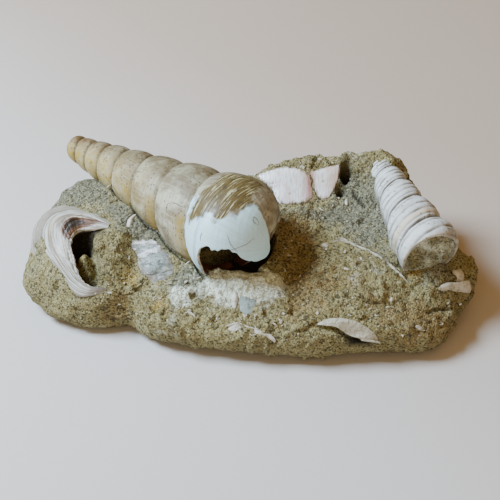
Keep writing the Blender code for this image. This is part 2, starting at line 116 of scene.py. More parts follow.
# Tints of the stone: name, x, y, reach along, reach across, turn in degrees, strength.
TINTS = {
    "grey": [
        (-62.0, 20.0, 20.0, 11.0, 0.0, 1.0),
        (-38.0, -2.0, 16.0, 7.0, -42.0, 0.9),
        (42.0, 6.0, 13.0, 20.0, 18.0, 1.0),
        (20.0, 8.0, 16.0, 4.0, 0.0, 0.6),
        (62.0, -15.0, 8.0, 7.0, 0.0, 1.0),
        (-20.0, -23.0, 10.0, 6.0, 0.0, 0.9),
        (-74.0, -4.0, 6.0, 14.0, 0.0, 0.4),
    ],
    "brown": [
        # Partly stain, partly painted shadow: the first two brown spots lie right of the smooth shell, where
        # its shadow falls on the valley.
        (14.0, -4.0, 8.0, 13.0, -15.0, 1.0),
        (20.0, -24.0, 10.0, 12.0, -20.0, 0.7),
        (-43.0, -26.0, 6.0, 8.0, 0.0, 0.7),
        (-58.0, -26.0, 12.0, 3.0, 0.0, 0.4),
        (74.0, -22.0, 8.0, 14.0, 0.0, 0.25),
        (36.0, -24.0, 10.0, 8.0, 0.0, 0.35),
        (14.0, -35.0, 12.0, 6.0, 0.0, 0.35),
        (48.0, -33.0, 14.0, 8.0, 0.0, 0.35),
        (60.0, -34.0, 13.0, 7.0, 10.0, 0.7),
        (78.0, -8.0, 6.0, 12.0, 0.0, 0.3),
    ],
    "cream": [
        # Partly chalky stone, partly painted light: the first two cream spots brighten the plateau under the
        # smooth shell's mouth, which lies in the shell's shade.
        (-3.0, -24.5, 12.5, 6.5, -8.0, 1.6),
        (5.0, -22.0, 7.0, 3.5, -8.0, 0.9),
        (-24.0, -28.0, 4.0, 3.6, 0.0, 1.0),
        (40.0, -20.0, 10.0, 7.0, 0.0, 0.35),
        (-30.0, -36.0, 8.0, 3.0, 0.0, 0.4),
        (38.0, 31.0, 8.0, 4.0, 0.0, 0.5),
    ],
    "ochre": [
        (-41.0, -18.5, 4.0, 3.5, 0.0, 0.8),
        (-30.0, -29.5, 3.5, 3.0, 0.0, 0.9),
        (56.0, -19.0, 3.5, 3.0, 0.0, 0.6),
        # Partly ochre stone, partly painted light: this spot lifts the slab in the snail's hole out of the
        # shade of its rim.
        (-58.5, -9.5, 4.0, 4.5, 15.0, 0.8),
        (-20.0, -38.0, 6.0, 2.0, 0.0, 0.4),
    ],
    # Painted shade: the dark spots blacken the snail's hole, the deep and small holes and the hollow under
    # the clam valve.
    "dark": [
        (-57.5, -2.8, 5.6, 4.4, 5.0, 1.8),
        (-56.0, -19.0, 4.5, 3.5, 16.0, 1.0),
        (34.2, 24.4, 2.2, 3.2, -10.0, 1.3),
        (32.2, 18.6, 1.9, 1.6, 0.0, 0.9),
        (37.0, -40.8, 5.5, 1.5, -10.0, 1.7),
    ],
}

# Ground round the moon snail that the scattered flakes keep off, given like a relief without its rise.
SNAIL_CLEARING = (-58.0, -8.0, 12.0, 14.0, 0.0, 3)

# Dark cracks in the stone: points in plan.
STONE_CRACKS = [
    [(36.5, 17.5), (38.0, 15.0), (40.5, 11.5)],
    [(60.0, -30.5), (64.0, -28.5), (67.5, -27.0)],
    [(50.0, -15.5), (55.0, -16.5), (60.0, -16.0)],
    [(-53.0, -27.5), (-47.0, -26.0), (-43.0, -29.0)],
]

# The big smooth turret shell. Distances run along its axis from the point where its cone ends.
TURRET = {
    "at": (-17.4, 0.5, 33.0),
    "at_run": 87.5,
    "turn_deg": -42.0,
    "climb_deg": 3.0,
    "slope": 0.166,
    "growth": 1.219,
    "swell": 0.11,
    "phase": -0.218,
    "tip_run": 22.0,
    "tip_round": 3.0,
    "base_run": 101.0,
    "end_run": 120.0,
    "last_place": 0.5,
    "short_side": 3.0,
}
# The broken lip of the last whorl: run along the axis, and the angle round it where the shell ends,
# first on the side that shows and then on the far side.
LIP_FRONT = [
    (20.0, 180.0), (102.6, 180.0), (103.3, 128.0), (103.9, 92.0), (105.5, 78.0), (108.5, 75.0),
    (112.5, 73.5), (114.7, 73.0), (116.2, 78.0), (117.5, 87.0), (118.6, 98.0), (119.5, 125.0),
    (120.0, 165.0),
]
LIP_BACK = [
    (20.0, -180.0), (103.5, -180.0), (106.0, -148.0), (109.0, -115.0), (111.5, -92.0), (113.5, -76.0),
    (115.4, -63.0), (117.0, -54.0), (118.5, -44.0), (119.2, -25.0), (119.6, -5.0), (120.0, 5.0),
]
# Hairline cracks in the shell: run and angle of their corners.
TURRET_CRACKS = [
    [(112.9, 53.0), (113.6, 58.0), (114.5, 64.0), (115.6, 69.0), (116.3, 72.5)],
    [(118.2, 40.0), (118.0, 48.0), (117.5, 57.0), (116.3, 65.0), (114.7, 71.0)],
    [(105.2, 61.0), (105.0, 65.0), (105.3, 70.0)],
    [(61.8, 34.0), (64.5, 31.5), (67.6, 29.0)],
    [(86.6, 50.0), (89.0, 48.0), (90.6, 48.5), (93.0, 47.0)],
    [(86.2, 50.5), (85.5, 56.0), (85.7, 61.0)],
    [(117.6, 13.0), (117.0, 17.5), (116.0, 16.5), (115.7, 12.5), (116.6, 10.5), (117.5, 11.8)],
]
# The streaky patch on top of the last whorl: run and angle of its corners.
STREAK_PATCH = [
    (96.5, -14.0), (101.0, -32.0), (109.0, -36.0), (111.0, -14.0), (112.6, 4.0), (113.1, 16.0), (111.4, 22.0),
    (110.6, 36.0), (108.0, 46.0), (105.0, 41.0), (102.0, 46.0), (99.0, 58.0), (96.0, 62.0),
    (95.6, 40.0), (96.2, 22.0), (97.6, 6.0),
]

# The ribbed turret shell, half buried along the right-hand ridge. Towards its mouth, over narrow_reach,
# the wall draws in by the share called narrowing.
RIBBED = {
    "at": (60.6, -13.1, 27.0),
    "at_run": 69.7,
    "turn_deg": -70.4,
    "climb_deg": -8.0,
    "slope": 0.147,
    "growth": 1.25,
    "swell": 0.16,
    "phase": 0.42,
    "tip_run": 26.7,
    "tip_round": 1.0,
    "base_run": 72.4,
    "end_run": 72.9,
    "narrowing": 0.15,
    "narrow_reach": 6.0,
}
# Grooves between the ribs: place within a whorl, and depth against the settings' depth.
RIB_GROOVES = [(0.0, 2.0), (0.15, 0.8), (0.46, 1.0), (0.68, 1.0), (0.88, 0.6)]

# The broken moon snail: where its last whorl meets the stone, the rim of its hole, and the rise of
# the wall between them, station by station round the hole. x, y, z, and the rise.
SNAIL_FOOT = [
    (-48.0, 0.5, 27.5),
    (-52.5, 5.0, 27.5),
    (-57.0, 7.5, 27.0),
    (-61.5, 9.5, 26.0),
    (-66.5, 10.5, 24.5),
    (-71.0, 9.5, 23.0),
    (-74.0, 5.5, 21.0),
    (-74.0, 0.0, 18.5),
    (-70.5, -8.0, 19.5),
    (-66.0, -14.0, 18.5),
    (-61.5, -19.5, 17.0),
    (-55.5, -23.5, 16.6),
    (-47.2, -22.6, 17.2),
]
SNAIL_RIM = [
    (-49.0, -3.0, 28.5, 0.8),
    (-52.0, -3.5, 28.5, 1.4),
    (-54.5, -3.5, 28.0, 2.2),
    (-58.0, -3.0, 27.5, 3.2),
    (-60.5, -5.0, 27.0, 4.0),
    (-61.5, -7.5, 26.0, 4.4),
    (-61.0, -10.5, 25.0, 4.4),
    (-60.0, -14.0, 23.5, 3.8),
    (-58.5, -17.0, 21.5, 3.0),
    (-57.0, -20.8, 19.4, 2.2),
    (-54.0, -22.4, 18.4, 1.6),
    (-50.8, -22.8, 18.7, 0.9),
    (-47.2, -22.4, 17.5, 0.05),
]
SPIRE_PATH = [
    (-58.0, 9.0, 25.0, 1.0),
    (-62.5, 10.5, 25.0, 1.8),
    (-67.0, 10.5, 24.5, 2.4),
    (-71.0, 8.5, 23.0, 2.8),
    (-73.5, 4.0, 21.0, 2.8),
    (-74.5, -1.5, 18.0, 2.2),
    (-73.5, -6.0, 16.5, 1.2),
]

# Shell pieces in the surface: outline in plan, rise of the edge and of the middle, and depth.
FRAGMENTS = {
    "pink_shell_large_fragment": (
        [
            (3.5, 22.5), (7.5, 24.0), (12.0, 24.0), (16.5, 23.5),
            (19.0, 22.5), (21.5, 20.5), (22.0, 16.5), (21.5, 15.5),
            (19.0, 13.5), (15.0, 12.5), (10.5, 12.0), (8.5, 17.0),
            (6.0, 19.5),
        ],
        0.4, 1.4, 1.6,
    ),
    "pink_shell_small_fragment": (
        [
            (22.0, 22.5), (22.5, 20.5), (23.0, 18.5), (24.0, 16.5), (25.5, 15.5), (27.5, 15.5),
            (29.0, 17.0), (30.5, 19.5), (31.5, 22.0), (31.8, 24.0), (31.0, 25.0), (28.5, 24.5),
            (25.5, 23.5), (23.5, 23.0),
        ],
        0.4, 1.0, 1.4,
    ),
    "grey_oyster_fragment": (
        [
            (-40.5, -8.0), (-38.0, -6.5), (-33.5, -7.5), (-30.0, -10.5),
            (-27.5, -13.5), (-26.0, -18.5), (-28.5, -21.0), (-33.0, -21.0),
            (-37.0, -17.5), (-38.5, -12.0),
        ],
        0.1, 1.1, 1.8,
    ),
    "white_nub": (
        [
            (-42.6, -1.8), (-42.4, 0.3), (-41.0, 1.8), (-39.6, 2.1), (-40.4, 0.5), (-41.0, -1.2),
            (-41.8, -2.5),
        ],
        0.1, 0.8, 1.2,
    ),
    "diamond_shard": (
        [(-6.5, -30.0), (-5.0, -27.5), (-4.0, -30.0), (-5.0, -32.5)],
        0.4, 1.1, 1.2,
    ),
    "blue_grey_shard": (
        [(-3.0, -29.0), (2.0, -30.0), (0.0, -34.0), (-3.5, -33.0)],
        0.05, 0.5, 1.2,
    ),
    "white_bar_shard": (
        [
            (64.0, -22.5), (66.0, -20.5), (68.5, -19.0), (71.5, -17.5), (75.0, -15.5), (76.0, -16.5),
            (75.0, -18.2), (72.0, -19.6), (69.0, -20.6), (66.0, -22.2),
        ],
        0.4, 1.3, 1.6,
    ),
}
BLADE_PATH = [(28.5, -5.0), (33.0, -5.5), (38.0, -8.5), (43.0, -12.5), (47.5, -16.5), (54.0, -22.0)]
# The clam valve: its buried back edge and its free lip, in plan with the rise above the stone.
VALVE_BACK = [
    (22.5, -38.0, 0.5), (26.0, -37.0, 0.7), (29.5, -36.8, 0.6), (32.5, -37.0, 0.5),
    (35.5, -37.6, 0.4), (38.5, -38.6, 0.3), (43.5, -40.6, 0.0),
]
VALVE_LIP = [
    (22.5, -38.5, 0.7), (26.0, -39.1, 1.1), (29.5, -39.7, 1.3), (32.5, -40.2, 1.4),
    (35.5, -40.8, 1.4), (38.5, -41.2, 1.2), (43.5, -41.1, 0.3),
]
VALVE_OUTLINE = [place[:2] for place in VALVE_BACK] + [place[:2] for place in reversed(VALVE_LIP)]
# Loose white bits and flakes: outline in plan, rise of the edge and of the middle.
CHIPS = [
    ([(-7.5, -37.4), (-4.5, -37.0), (-2.5, -37.8), (-5.5, -38.6)], 0.1, 0.35),
    ([(0.8, -38.4), (3.4, -38.8), (4.6, -39.8), (2.2, -39.8)], 0.1, 0.35),
    ([(-28.5, -33.0), (-26.5, -32.4), (-24.5, -33.2), (-26.8, -34.4)], 0.1, 0.4),
    ([(33.6, 14.0), (34.2, 15.6), (34.8, 14.4), (34.3, 12.8)], 0.2, 0.5),
    ([(46.8, -29.4), (47.6, -28.2), (48.2, -29.2), (47.4, -30.2)], 0.2, 0.5),
    ([(55.2, -36.8), (56.6, -36.2), (58.0, -36.8), (56.8, -37.3)], 0.1, 0.3),
    ([(17.6, -36.6), (18.8, -36.3), (19.4, -37.4), (18.4, -38.0)], 0.2, 0.5),
    ([(24.2, -6.6), (25.8, -5.6), (27.2, -6.4), (26.4, -7.8)], 0.2, 0.6),
]
NUB_OUTLINE = [
    (69.5, -14.5), (70.8, -13.2), (72.8, -12.6), (73.8, -14.0), (73.2, -16.2), (71.4, -17.2), (70.0, -16.6)
]
# Thin white edges that show as lines: path in plan, half width, rise.
LINES = [
    ([(-22.2, -33.0), (-20.6, -32.6), (-19.0, -33.4), (-18.0, -34.6)], 0.2, 0.5),
    ([(-31.5, -31.5), (-30.0, -33.0), (-28.5, -34.6)], 0.15, 0.4),
    ([(29.0, -3.8), (32.0, -4.2), (34.0, -5.2)], 0.15, 0.5),
    ([(22.6, -5.5), (23.4, -7.5), (24.6, -8.6)], 0.12, 0.5),
    ([(-8.5, -36.8), (-4.0, -36.8), (-0.5, -37.8), (2.5, -38.6)], 0.3, 0.45),
    ([(-7.0, -38.4), (-3.0, -38.6), (0.5, -39.6), (3.0, -40.2)], 0.25, 0.45),
    ([(-5.5, -36.0), (-4.5, -37.5), (-2.5, -39.2)], 0.2, 0.5),
    ([(1.5, -37.4), (2.5, -38.8), (4.5, -39.9)], 0.2, 0.5),
    ([(4.5, -39.6), (6.5, -40.0), (8.5, -40.8)], 0.3, 0.45),
    ([(-67.2, -17.2), (-65.6, -16.7), (-64.0, -17.4)], 0.14, 0.35),
]


def spline(points, at, closed=False):
    """A Catmull-Rom curve through the points. at counts points, so 0 is the first one."""
    points = np.asarray(points, float)
    last = len(points) - 1
    at = np.asarray(at, float)
    i = np.floor(at).astype(int) if closed else np.clip(np.floor(at).astype(int), 0, last - 1)
    t = (at - i)[:, None]
    near = [i + k for k in (-1, 0, 1, 2)]
    near = [n % len(points) if closed else np.clip(n, 0, last) for n in near]
    p0, p1, p2, p3 = (points[n] for n in near)
    return 0.5 * (
        2 * p1
        + (p2 - p0) * t
        + (2 * p0 - 5 * p1 + 4 * p2 - p3) * t**2
        + (3 * p1 - p0 - 3 * p2 + p3) * t**3
    )


def rim_by_angle():
    """The rim as tables against the angle round the stone's middle: distance, height, squareness."""
    fine = spline(STONE_RIM, np.arange(0, len(STONE_RIM), 0.05), closed=True)
    out = fine[:, :2] - STONE_MIDDLE
    angle = np.arctan2(out[:, 1], out[:, 0])
    order = np.argsort(angle)
    return angle[order], np.hypot(*out.T)[order], fine[order, 2], fine[order, 3]


RIM_TABLE = rim_by_angle()


def rim_at(angle):
    """Distance of the rim from the middle, its height and its squareness at these angles."""
    angles, *columns = RIM_TABLE
    return [np.interp(angle, angles, column, period=2 * math.pi) for column in columns]


def lattice(i, seed):
    """A fixed pseudo-random number from 0 to 1 for each whole-number point."""
    i = i.astype(np.int64)
    h = i[..., 0] * 374761393 + i[..., 1] * 668265263 + i[..., 2] * 2147483647 + seed * 974634777
    h = (h ^ (h >> 13)) * 1274126177
    return ((h ^ (h >> 16)) & 0xFFFF) / 0xFFFF


def noise(p, size, seed):
    """Smooth noise from -1 to 1: random values on a lattice of that size, blended between."""
    p = p / size
    i = np.floor(p)
    f = p - i
    f = f * f * (3 - 2 * f)
    total = 0.0
    for corner in np.ndindex(2, 2, 2):
        c = np.array(corner)
        weight = np.prod(np.where(c == 1, f, 1 - f), axis=-1)
        total = total + weight * lattice(i + c, seed)
    return 2 * total - 1


def leaning(points):
    """The points turned by 3-4-5 triangles about two axes, so that fine noise lines up with nothing."""
    about_z = np.array([[0.8, -0.6, 0.0], [0.6, 0.8, 0.0], [0.0, 0.0, 1.0]])
    about_x = np.array([[1.0, 0.0, 0.0], [0.0, 0.8, -0.6], [0.0, 0.6, 0.8]])
    return points @ about_z @ about_x


def ease(low, high, value):
    """0 below low, 1 above high, and a smooth S between."""
    t = np.clip((value - low) / (high - low), 0, 1)
    return t * t * (3 - 2 * t)


def bump_at(x, y, cx, cy, along, across, turn, steepness=1):
    """A bell in plan: e to the power of minus the squared elliptic distance, raised to steepness."""
    c, s = math.cos(math.radians(turn)), math.sin(math.radians(turn))
    a = ((x - cx) * c + (y - cy) * s) / along
    b = ((y - cy) * c - (x - cx) * s) / across
    return np.exp(-((a * a + b * b) ** steepness))


def relief(x, y):
    """Height of the top without its rounded edge: a slope plus the named swells and hollows."""
    height = TOP_LEVEL + TOP_SLOPE_BACK * y
    for cx, cy, along, across, turn, rise, steepness in RELIEF.values():
        height = height + rise * bump_at(x, y, cx, cy, along, across, turn, steepness)
    return height


def surface(x, y):
    """Height of the stone's upper face: the relief, falling to the rim as a superellipse does."""
    dx, dy = x - STONE_MIDDLE[0], y - STONE_MIDDLE[1]
    reach, low, square = rim_at(np.arctan2(dy, dx))
    share = np.clip(np.hypot(dx, dy) / reach, 0, 1)
    return low + (relief(x, y) - low) * (1 - share**square) ** (1 / square)


def outline_distance(x, y, outline):
    """Distance of points from a closed outline in plan, negative inside it."""
    corners = np.asarray(outline, float)
    nearest = np.full(np.shape(x), 1e9)
    inside = np.zeros(np.shape(x), bool)
    for (ax, ay), (bx, by) in zip(corners, np.roll(corners, -1, axis=0)):
        ex, ey = bx - ax, by - ay
        t = np.clip(((x - ax) * ex + (y - ay) * ey) / (ex * ex + ey * ey), 0, 1)
        nearest = np.minimum(nearest, np.hypot(x - ax - t * ex, y - ay - t * ey))
        crosses = ((ay > y) != (by > y)) & (x < ex * (y - ay) / (by - ay + 1e-12) + ax)
        inside ^= crosses
    return np.where(inside, -nearest, nearest)


def path_distance(x, y, path):
    """Distance of points from an open path in plan."""
    corners = np.asarray(path, float)
    nearest = np.full(np.shape(x), 1e9)
    for (ax, ay), (bx, by) in zip(corners[:-1], corners[1:]):
        ex, ey = bx - ax, by - ay
        t = np.clip(((x - ax) * ex + (y - ay) * ey) / (ex * ex + ey * ey), 0, 1)
        nearest = np.minimum(nearest, np.hypot(x - ax - t * ex, y - ay - t * ey))
    return nearest


def fragment_distance(x, y):
    """Distance in plan from the nearest shell fragment that lies in the surface."""
    outlines = [item[0] for item in FRAGMENTS.values()] + [VALVE_OUTLINE]
    return np.min([outline_distance(x, y, outline) for outline in outlines], axis=0)


def rough_ground(x, y, roughness):
    """Height of the rough stone: its upper face plus two sizes of noise, calmed round fragments."""
    level = surface(x, y)
    p = np.stack([x, y, level], -1)
    rough = noise(p, 9.0, 1) + 0.5 * noise(p, 4.5, 2)
    calm = ease(0.0, 3.0, fragment_distance(x, y))
    return level + roughness * rough * np.clip(level / 6.0, 0, 1) * calm


def shell_axes(shell):
    """Unit vectors of a turret shell: along its axis from tip to base, up, and to its side."""
    turn, climb = math.radians(shell["turn_deg"]), math.radians(shell["climb_deg"])
    along = np.array([math.cos(climb) * math.cos(turn), math.cos(climb) * math.sin(turn), math.sin(climb)])
    up = np.array([0.0, 0.0, 1.0]) - along * along[2]
    up /= np.linalg.norm(up)
    return along, up, np.cross(along, up)


def shell_origin(shell):
    """The point of a turret shell's axis where its cone would end."""
    return np.array(shell["at"]) - shell_axes(shell)[0] * shell["at_run"]


def whorl_place(shell, run, turn):
    """How many whorls a point lies from the shell's marked one. Sutures are at whole numbers."""
    return np.log(run / shell["at_run"]) / math.log(shell["growth"]) - turn / (2 * math.pi) + shell["phase"]


def whorl_radius(shell, run, turn):
    """Radius of a turret shell: a cone whose whorls swell between the turns of a right-hand screw.

    The last whorl falls off gently past its middle, as no suture follows it.
    """
    place = whorl_place(shell, run, turn)
    part = place - np.floor(place)
    past = place - shell.get("last_place", 1e3)
    part = np.where(past > 0, 0.5 + 0.34 * ease(0.0, 0.6, past), part)
    swell = 1 - np.abs(2 * part - 1) ** 2.4
    radius = run * shell["slope"] * (1 + shell["swell"] * swell)
    reach = shell["end_run"] - shell.get("short_side", 0.0) * ease(-0.4, -1.6, turn)
    end = np.clip((run - shell["base_run"]) / (reach - shell["base_run"]), 0, 1)
    tip = np.clip((shell["tip_run"] + shell["tip_round"] - run) / shell["tip_round"], 0, 1)
    return radius * np.sqrt(1 - end**2) * np.sqrt(1 - tip**2)


def rounded_tip(shell, steps):
    """Runs along a shell's rounded tip, closest together at its point."""
    opening = 1 - np.cos(np.linspace(0, math.pi / 2, steps))
    return shell["tip_run"] + shell["tip_round"] * opening[:-1]


def suture_distance(shell, run, turn):
    """Distance in millimetres along the axis from the nearest suture, positive on its tip side."""
    place = whorl_place(shell, run, turn)
    part = place - np.minimum(np.round(place), np.floor(shell.get("last_place", 1e3)))
    return -part * math.log(shell["growth"]) * run


def shell_points(shell, run, turn, radius):
    """Points of a turret shell from their run, angle and distance from the axis."""
    along, up, side = shell_axes(shell)
    across = np.cos(turn)[..., None] * up + np.sin(turn)[..., None] * side
    return shell_origin(shell) + run[..., None] * along + radius[..., None] * across


def shell_distance(shell, points):
    """Run, angle and distance outside a turret shell's skin for points in space."""
    along, up, side = shell_axes(shell)
    rel = points - shell_origin(shell)
    run = rel @ along
    turn = np.arctan2(rel @ side, rel @ up)
    radius = np.hypot(rel @ side, rel @ up)
    inside = np.clip(run, shell["tip_run"] + 0.5, shell["end_run"] - 0.5)
    beyond = np.abs(run - inside)
    return run, turn, radius - whorl_radius(shell, inside, turn) + beyond


def grid_triangles(rows, columns, wrap=False):
    """Triangles of a grid of points, two to a cell, and round again to the first column if wrapped."""
    r = np.arange(rows - 1)[:, None]
    c = np.arange(columns if wrap else columns - 1)[None]
    n = (c + 1) % columns
    a, b, d, e = r * columns + c, r * columns + n, (r + 1) * columns + n, (r + 1) * columns + c
    return np.stack([np.stack([a, b, d], -1), np.stack([a, d, e], -1)], 2).reshape(-1, 3)


def grid_normals(points):
    """Unit normals of a grid of points: the cross product of its two directions."""
    across = np.gradient(points, axis=1)
    down = np.gradient(points, axis=0)
    normal = np.cross(across, down)
    return normal / np.maximum(np.linalg.norm(normal, axis=-1, keepdims=True), 1e-9)


def make_piece(name, points, triangles, finishes, marks=None, sharp=40.0, turned=False):
    """An object from points in block millimetres and triangles.

    Points that share a place are joined, and triangles that close up are dropped. marks are numbers
    for each point, kept on the face corners so that a seam may have two values.
    """
    points = np.asarray(points, float).reshape(-1, 3)
    places = np.round(points * STEPS_PER_MM).astype(np.int64)
    _, first, joined = np.unique(places, axis=0, return_index=True, return_inverse=True)
    welded = joined.reshape(-1)[triangles]
    good = (welded[:, 0] != welded[:, 1]) & (welded[:, 1] != welded[:, 2]) & (welded[:, 0] != welded[:, 2])
    welded, loose = welded[good], triangles[good]
    if turned:
        welded, loose = welded[:, ::-1], loose[:, ::-1]
    mesh = bpy.data.meshes.new(name)
    mesh.from_pydata(((points[first] - FRAME_SHIFT) * MM).tolist(), [], welded.tolist())
    for label, values in (marks or {}).items():
        layer = mesh.attributes.new(label, "FLOAT", "CORNER")
        layer.data.foreach_set("value", np.asarray(values, np.float32).reshape(-1)[loose].reshape(-1))
    for finish in finishes:
        mesh.materials.append(finish)
    mesh.shade_smooth()
    mesh.set_sharp_from_angle(angle=math.radians(sharp))
    made = bpy.data.objects.new(name, mesh)
    bpy.context.scene.collection.objects.link(made)
    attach(made, "root")
    return made


def join_grids(grids):
    """One set of points and triangles from several grids of the same or other sizes."""
    points, triangles, base = [], [], 0
    for grid, wrap in grids:
        rows, columns = grid.shape[:2]
        points.append(grid.reshape(-1, 3))
        triangles.append(grid_triangles(rows, columns, wrap) + base)
        base += rows * columns
    return np.vstack(points), np.vstack(triangles)


# Shader nodes


# Fixed dark colours: painted shade for the bottoms of holes and cracks in the stone and for the snail's
# inside; dirt in chalky shell and in the shell's hairline cracks.
PAINTED_HOLLOW_SHADE = (0.010, 0.007, 0.004)
SNAIL_INSIDE_SHADE = (0.05, 0.035, 0.02)
CHALK_DIRT = (0.12, 0.09, 0.05)
CRACK_DARK = (0.03, 0.025, 0.02)


def node(tree, kind, inputs=None, **settings):
    """Places a shader node. Its inputs are sockets to link or values to set, by name or number."""
    made = tree.nodes.new("ShaderNode" + kind)
    for key, value in settings.items():
        setattr(made, key, value)
    for key, value in (inputs or {}).items():
        if isinstance(value, bpy.types.NodeSocket):
            tree.links.new(value, made.inputs[key])
        else:
            made.inputs[key].default_value = value
    return made


def sums(tree, operation, a, b, limit=False):
    """A Math node's result, kept from 0 to 1 if limited."""
    return node(tree, "Math", {0: a, 1: b}, operation=operation, use_clamp=limit).outputs[0]


def times(tree, a, b, limit=False):
    """The product of two values."""
    return sums(tree, "MULTIPLY", a, b, limit)


def plus(tree, a, b):
    """The sum of two values."""
    return sums(tree, "ADD", a, b)


def minus(tree, a, b):
    """The first value less the second."""
    return sums(tree, "SUBTRACT", a, b)


def blended(tree, share, first, second):
    """A colour between first and second by share."""
    made = node(tree, "Mix", {0: share}, data_type="RGBA", blend_type="MIX")
    for index, value in ((6, first), (7, second)):
        if isinstance(value, bpy.types.NodeSocket):
            tree.links.new(value, made.inputs[index])
        else:
            made.inputs[index].default_value = (*value, 1.0)
    return made.outputs[2]


def ramped(tree, value, low, high):
    """0 where value is below low and 1 where it is above high, smooth between."""
    inputs = {"Value": value, "From Min": low, "From Max": high}
    return node(tree, "MapRange", inputs, interpolation_type="SMOOTHSTEP").outputs[0]


def noisy(tree, place, per_metre, detail):
    """Noise of about 0 to 1, with so many lumps a metre."""
    return node(tree, "TexNoise", {"Vector": place, "Scale": per_metre, "Detail": detail}).outputs["Fac"]


def mark(tree, label):
    """The value that a mesh carries under this label."""
    return node(tree, "Attribute", attribute_name=label).outputs["Fac"]


def used_group(tree, group, inputs):
    """Places a node group in a material with its own values."""
    made = tree.nodes.new("ShaderNodeGroup")
    made.node_tree = group
    for key, value in inputs.items():
        if isinstance(value, bpy.types.NodeSocket):
            tree.links.new(value, made.inputs[key])
        else:
            made.inputs[key].default_value = value
    return made


def new_group(name, inputs, outputs):
    """A node group with named inputs and outputs, and its two end nodes."""
    tree = bpy.data.node_groups.new(name, "ShaderNodeTree")
    for label, kind, default in inputs:
        socket = tree.interface.new_socket(label, in_out="INPUT", socket_type=kind)
        if default is not None:
            socket.default_value = default
    for label, kind in outputs:
        tree.interface.new_socket(label, in_out="OUTPUT", socket_type=kind)
    return tree, tree.nodes.new("NodeGroupInput"), tree.nodes.new("NodeGroupOutput")


FLOAT, VECTOR = "NodeSocketFloat", "NodeSocketVector"


def grain_group():
    """Sand grains: the cells of a Voronoi texture, some dark and some pale, with their relief."""
    if "sand grains" in bpy.data.node_groups:
        return bpy.data.node_groups["sand grains"]
    tree, start, end = new_group(
        "sand grains",
        [
            ("Vector", VECTOR, None),
            ("Grains per metre", FLOAT, 1600.0),
            ("Dark share", FLOAT, 0.12),
            ("Pale share", FLOAT, 0.14),
        ],
        [("Shade", FLOAT), ("Dark", FLOAT), ("Pale", FLOAT), ("Height", FLOAT)],
    )
    warp = node(tree, "TexNoise", {"Vector": start.outputs["Vector"], "Scale": 700.0, "Detail": 2.0})
    nudge = node(tree, "VectorMath", {0: warp.outputs["Color"], "Scale": 0.0004}, operation="SCALE")
    moved = node(tree, "VectorMath", {0: start.outputs["Vector"], 1: nudge.outputs[0]}, operation="ADD")
    inputs = {"Vector": moved.outputs[0], "Scale": start.outputs["Grains per metre"], "Randomness": 1.0}
    cells = node(tree, "TexVoronoi", inputs)
    parts = node(tree, "SeparateColor", {0: cells.outputs["Color"]})
    rounded = minus(tree, 1.0, cells.outputs["Distance"])
    lift = times(tree, parts.outputs[0], 0.7)
    dark = sums(tree, "LESS_THAN", parts.outputs[1], start.outputs["Dark share"])
    pale = sums(tree, "LESS_THAN", parts.outputs[2], start.outputs["Pale share"])
    tree.links.new(parts.outputs[0], end.inputs["Shade"])
    tree.links.new(dark, end.inputs["Dark"])
    tree.links.new(pale, end.inputs["Pale"])
    tree.links.new(plus(tree, rounded, lift), end.inputs["Height"])
    return tree


def mottle_group():
    """Soft blotches: noise of one size, stretched to the range between its low and high limits."""
    if "mottle" in bpy.data.node_groups:
        return bpy.data.node_groups["mottle"]
    tree, start, end = new_group(
        "mottle",
        [
            ("Vector", VECTOR, None),
            ("Blotches per metre", FLOAT, 80.0),
            ("Low", FLOAT, 0.4),
            ("High", FLOAT, 0.6),
            ("Detail", FLOAT, 4.0),
        ],
        [("Mask", FLOAT)],
    )
    inputs = {
        "Vector": start.outputs["Vector"],
        "Scale": start.outputs["Blotches per metre"],
        "Detail": start.outputs["Detail"],
        "Roughness": 0.6,
    }
    cloud = node(tree, "TexNoise", inputs)
    mask = ramped(tree, cloud.outputs["Fac"], start.outputs["Low"], start.outputs["High"])
    tree.links.new(mask, end.inputs["Mask"])
    return tree


def speck_group():
    """Small scattered pits: the middles of a few cells of a Voronoi texture, of uneven size."""
    if "pit specks" in bpy.data.node_groups:
        return bpy.data.node_groups["pit specks"]
    tree, start, end = new_group(
        "pit specks",
        [
            ("Vector", VECTOR, None),
            ("Specks per metre", FLOAT, 700.0),
            ("Share", FLOAT, 0.2),
            ("Size", FLOAT, 0.3),
        ],
        [("Mask", FLOAT)],
    )
    inputs = {"Vector": start.outputs["Vector"], "Scale": start.outputs["Specks per metre"]}
    cells = node(tree, "TexVoronoi", {**inputs, "Randomness": 1.0})
    parts = node(tree, "SeparateColor", {0: cells.outputs["Color"]})
    chosen = sums(tree, "LESS_THAN", parts.outputs[0], start.outputs["Share"])
    near = sums(tree, "LESS_THAN", cells.outputs["Distance"], start.outputs["Size"])
    tree.links.new(times(tree, chosen, near), end.inputs["Mask"])
    return tree


def line_group():
    """Fine lines side by side: noise read along one coordinate, wandering a little with the other."""
    if "fine lines" in bpy.data.node_groups:
        return bpy.data.node_groups["fine lines"]
    tree, start, end = new_group(
        "fine lines",
        [
            ("Across", FLOAT, 0.0),
            ("Along", FLOAT, 0.0),
            ("Lines", FLOAT, 10.0),
            ("Length", FLOAT, 1.0),
            ("Low", FLOAT, 0.4),
            ("High", FLOAT, 0.6),
        ],
        [("Mask", FLOAT), ("Height", FLOAT)],
    )
    across = times(tree, start.outputs["Across"], start.outputs["Lines"])
    along = times(tree, start.outputs["Along"], start.outputs["Length"])
    spot = node(tree, "CombineXYZ", {0: across, 1: along})
    inputs = {"Vector": spot.outputs[0], "Scale": 1.0, "Detail": 3.0, "Roughness": 0.55}
    wave = node(tree, "TexNoise", inputs)
    mask = ramped(tree, wave.outputs["Fac"], start.outputs["Low"], start.outputs["High"])
    tree.links.new(mask, end.inputs["Mask"])
    tree.links.new(wave.outputs["Fac"], end.inputs["Height"])
    return tree


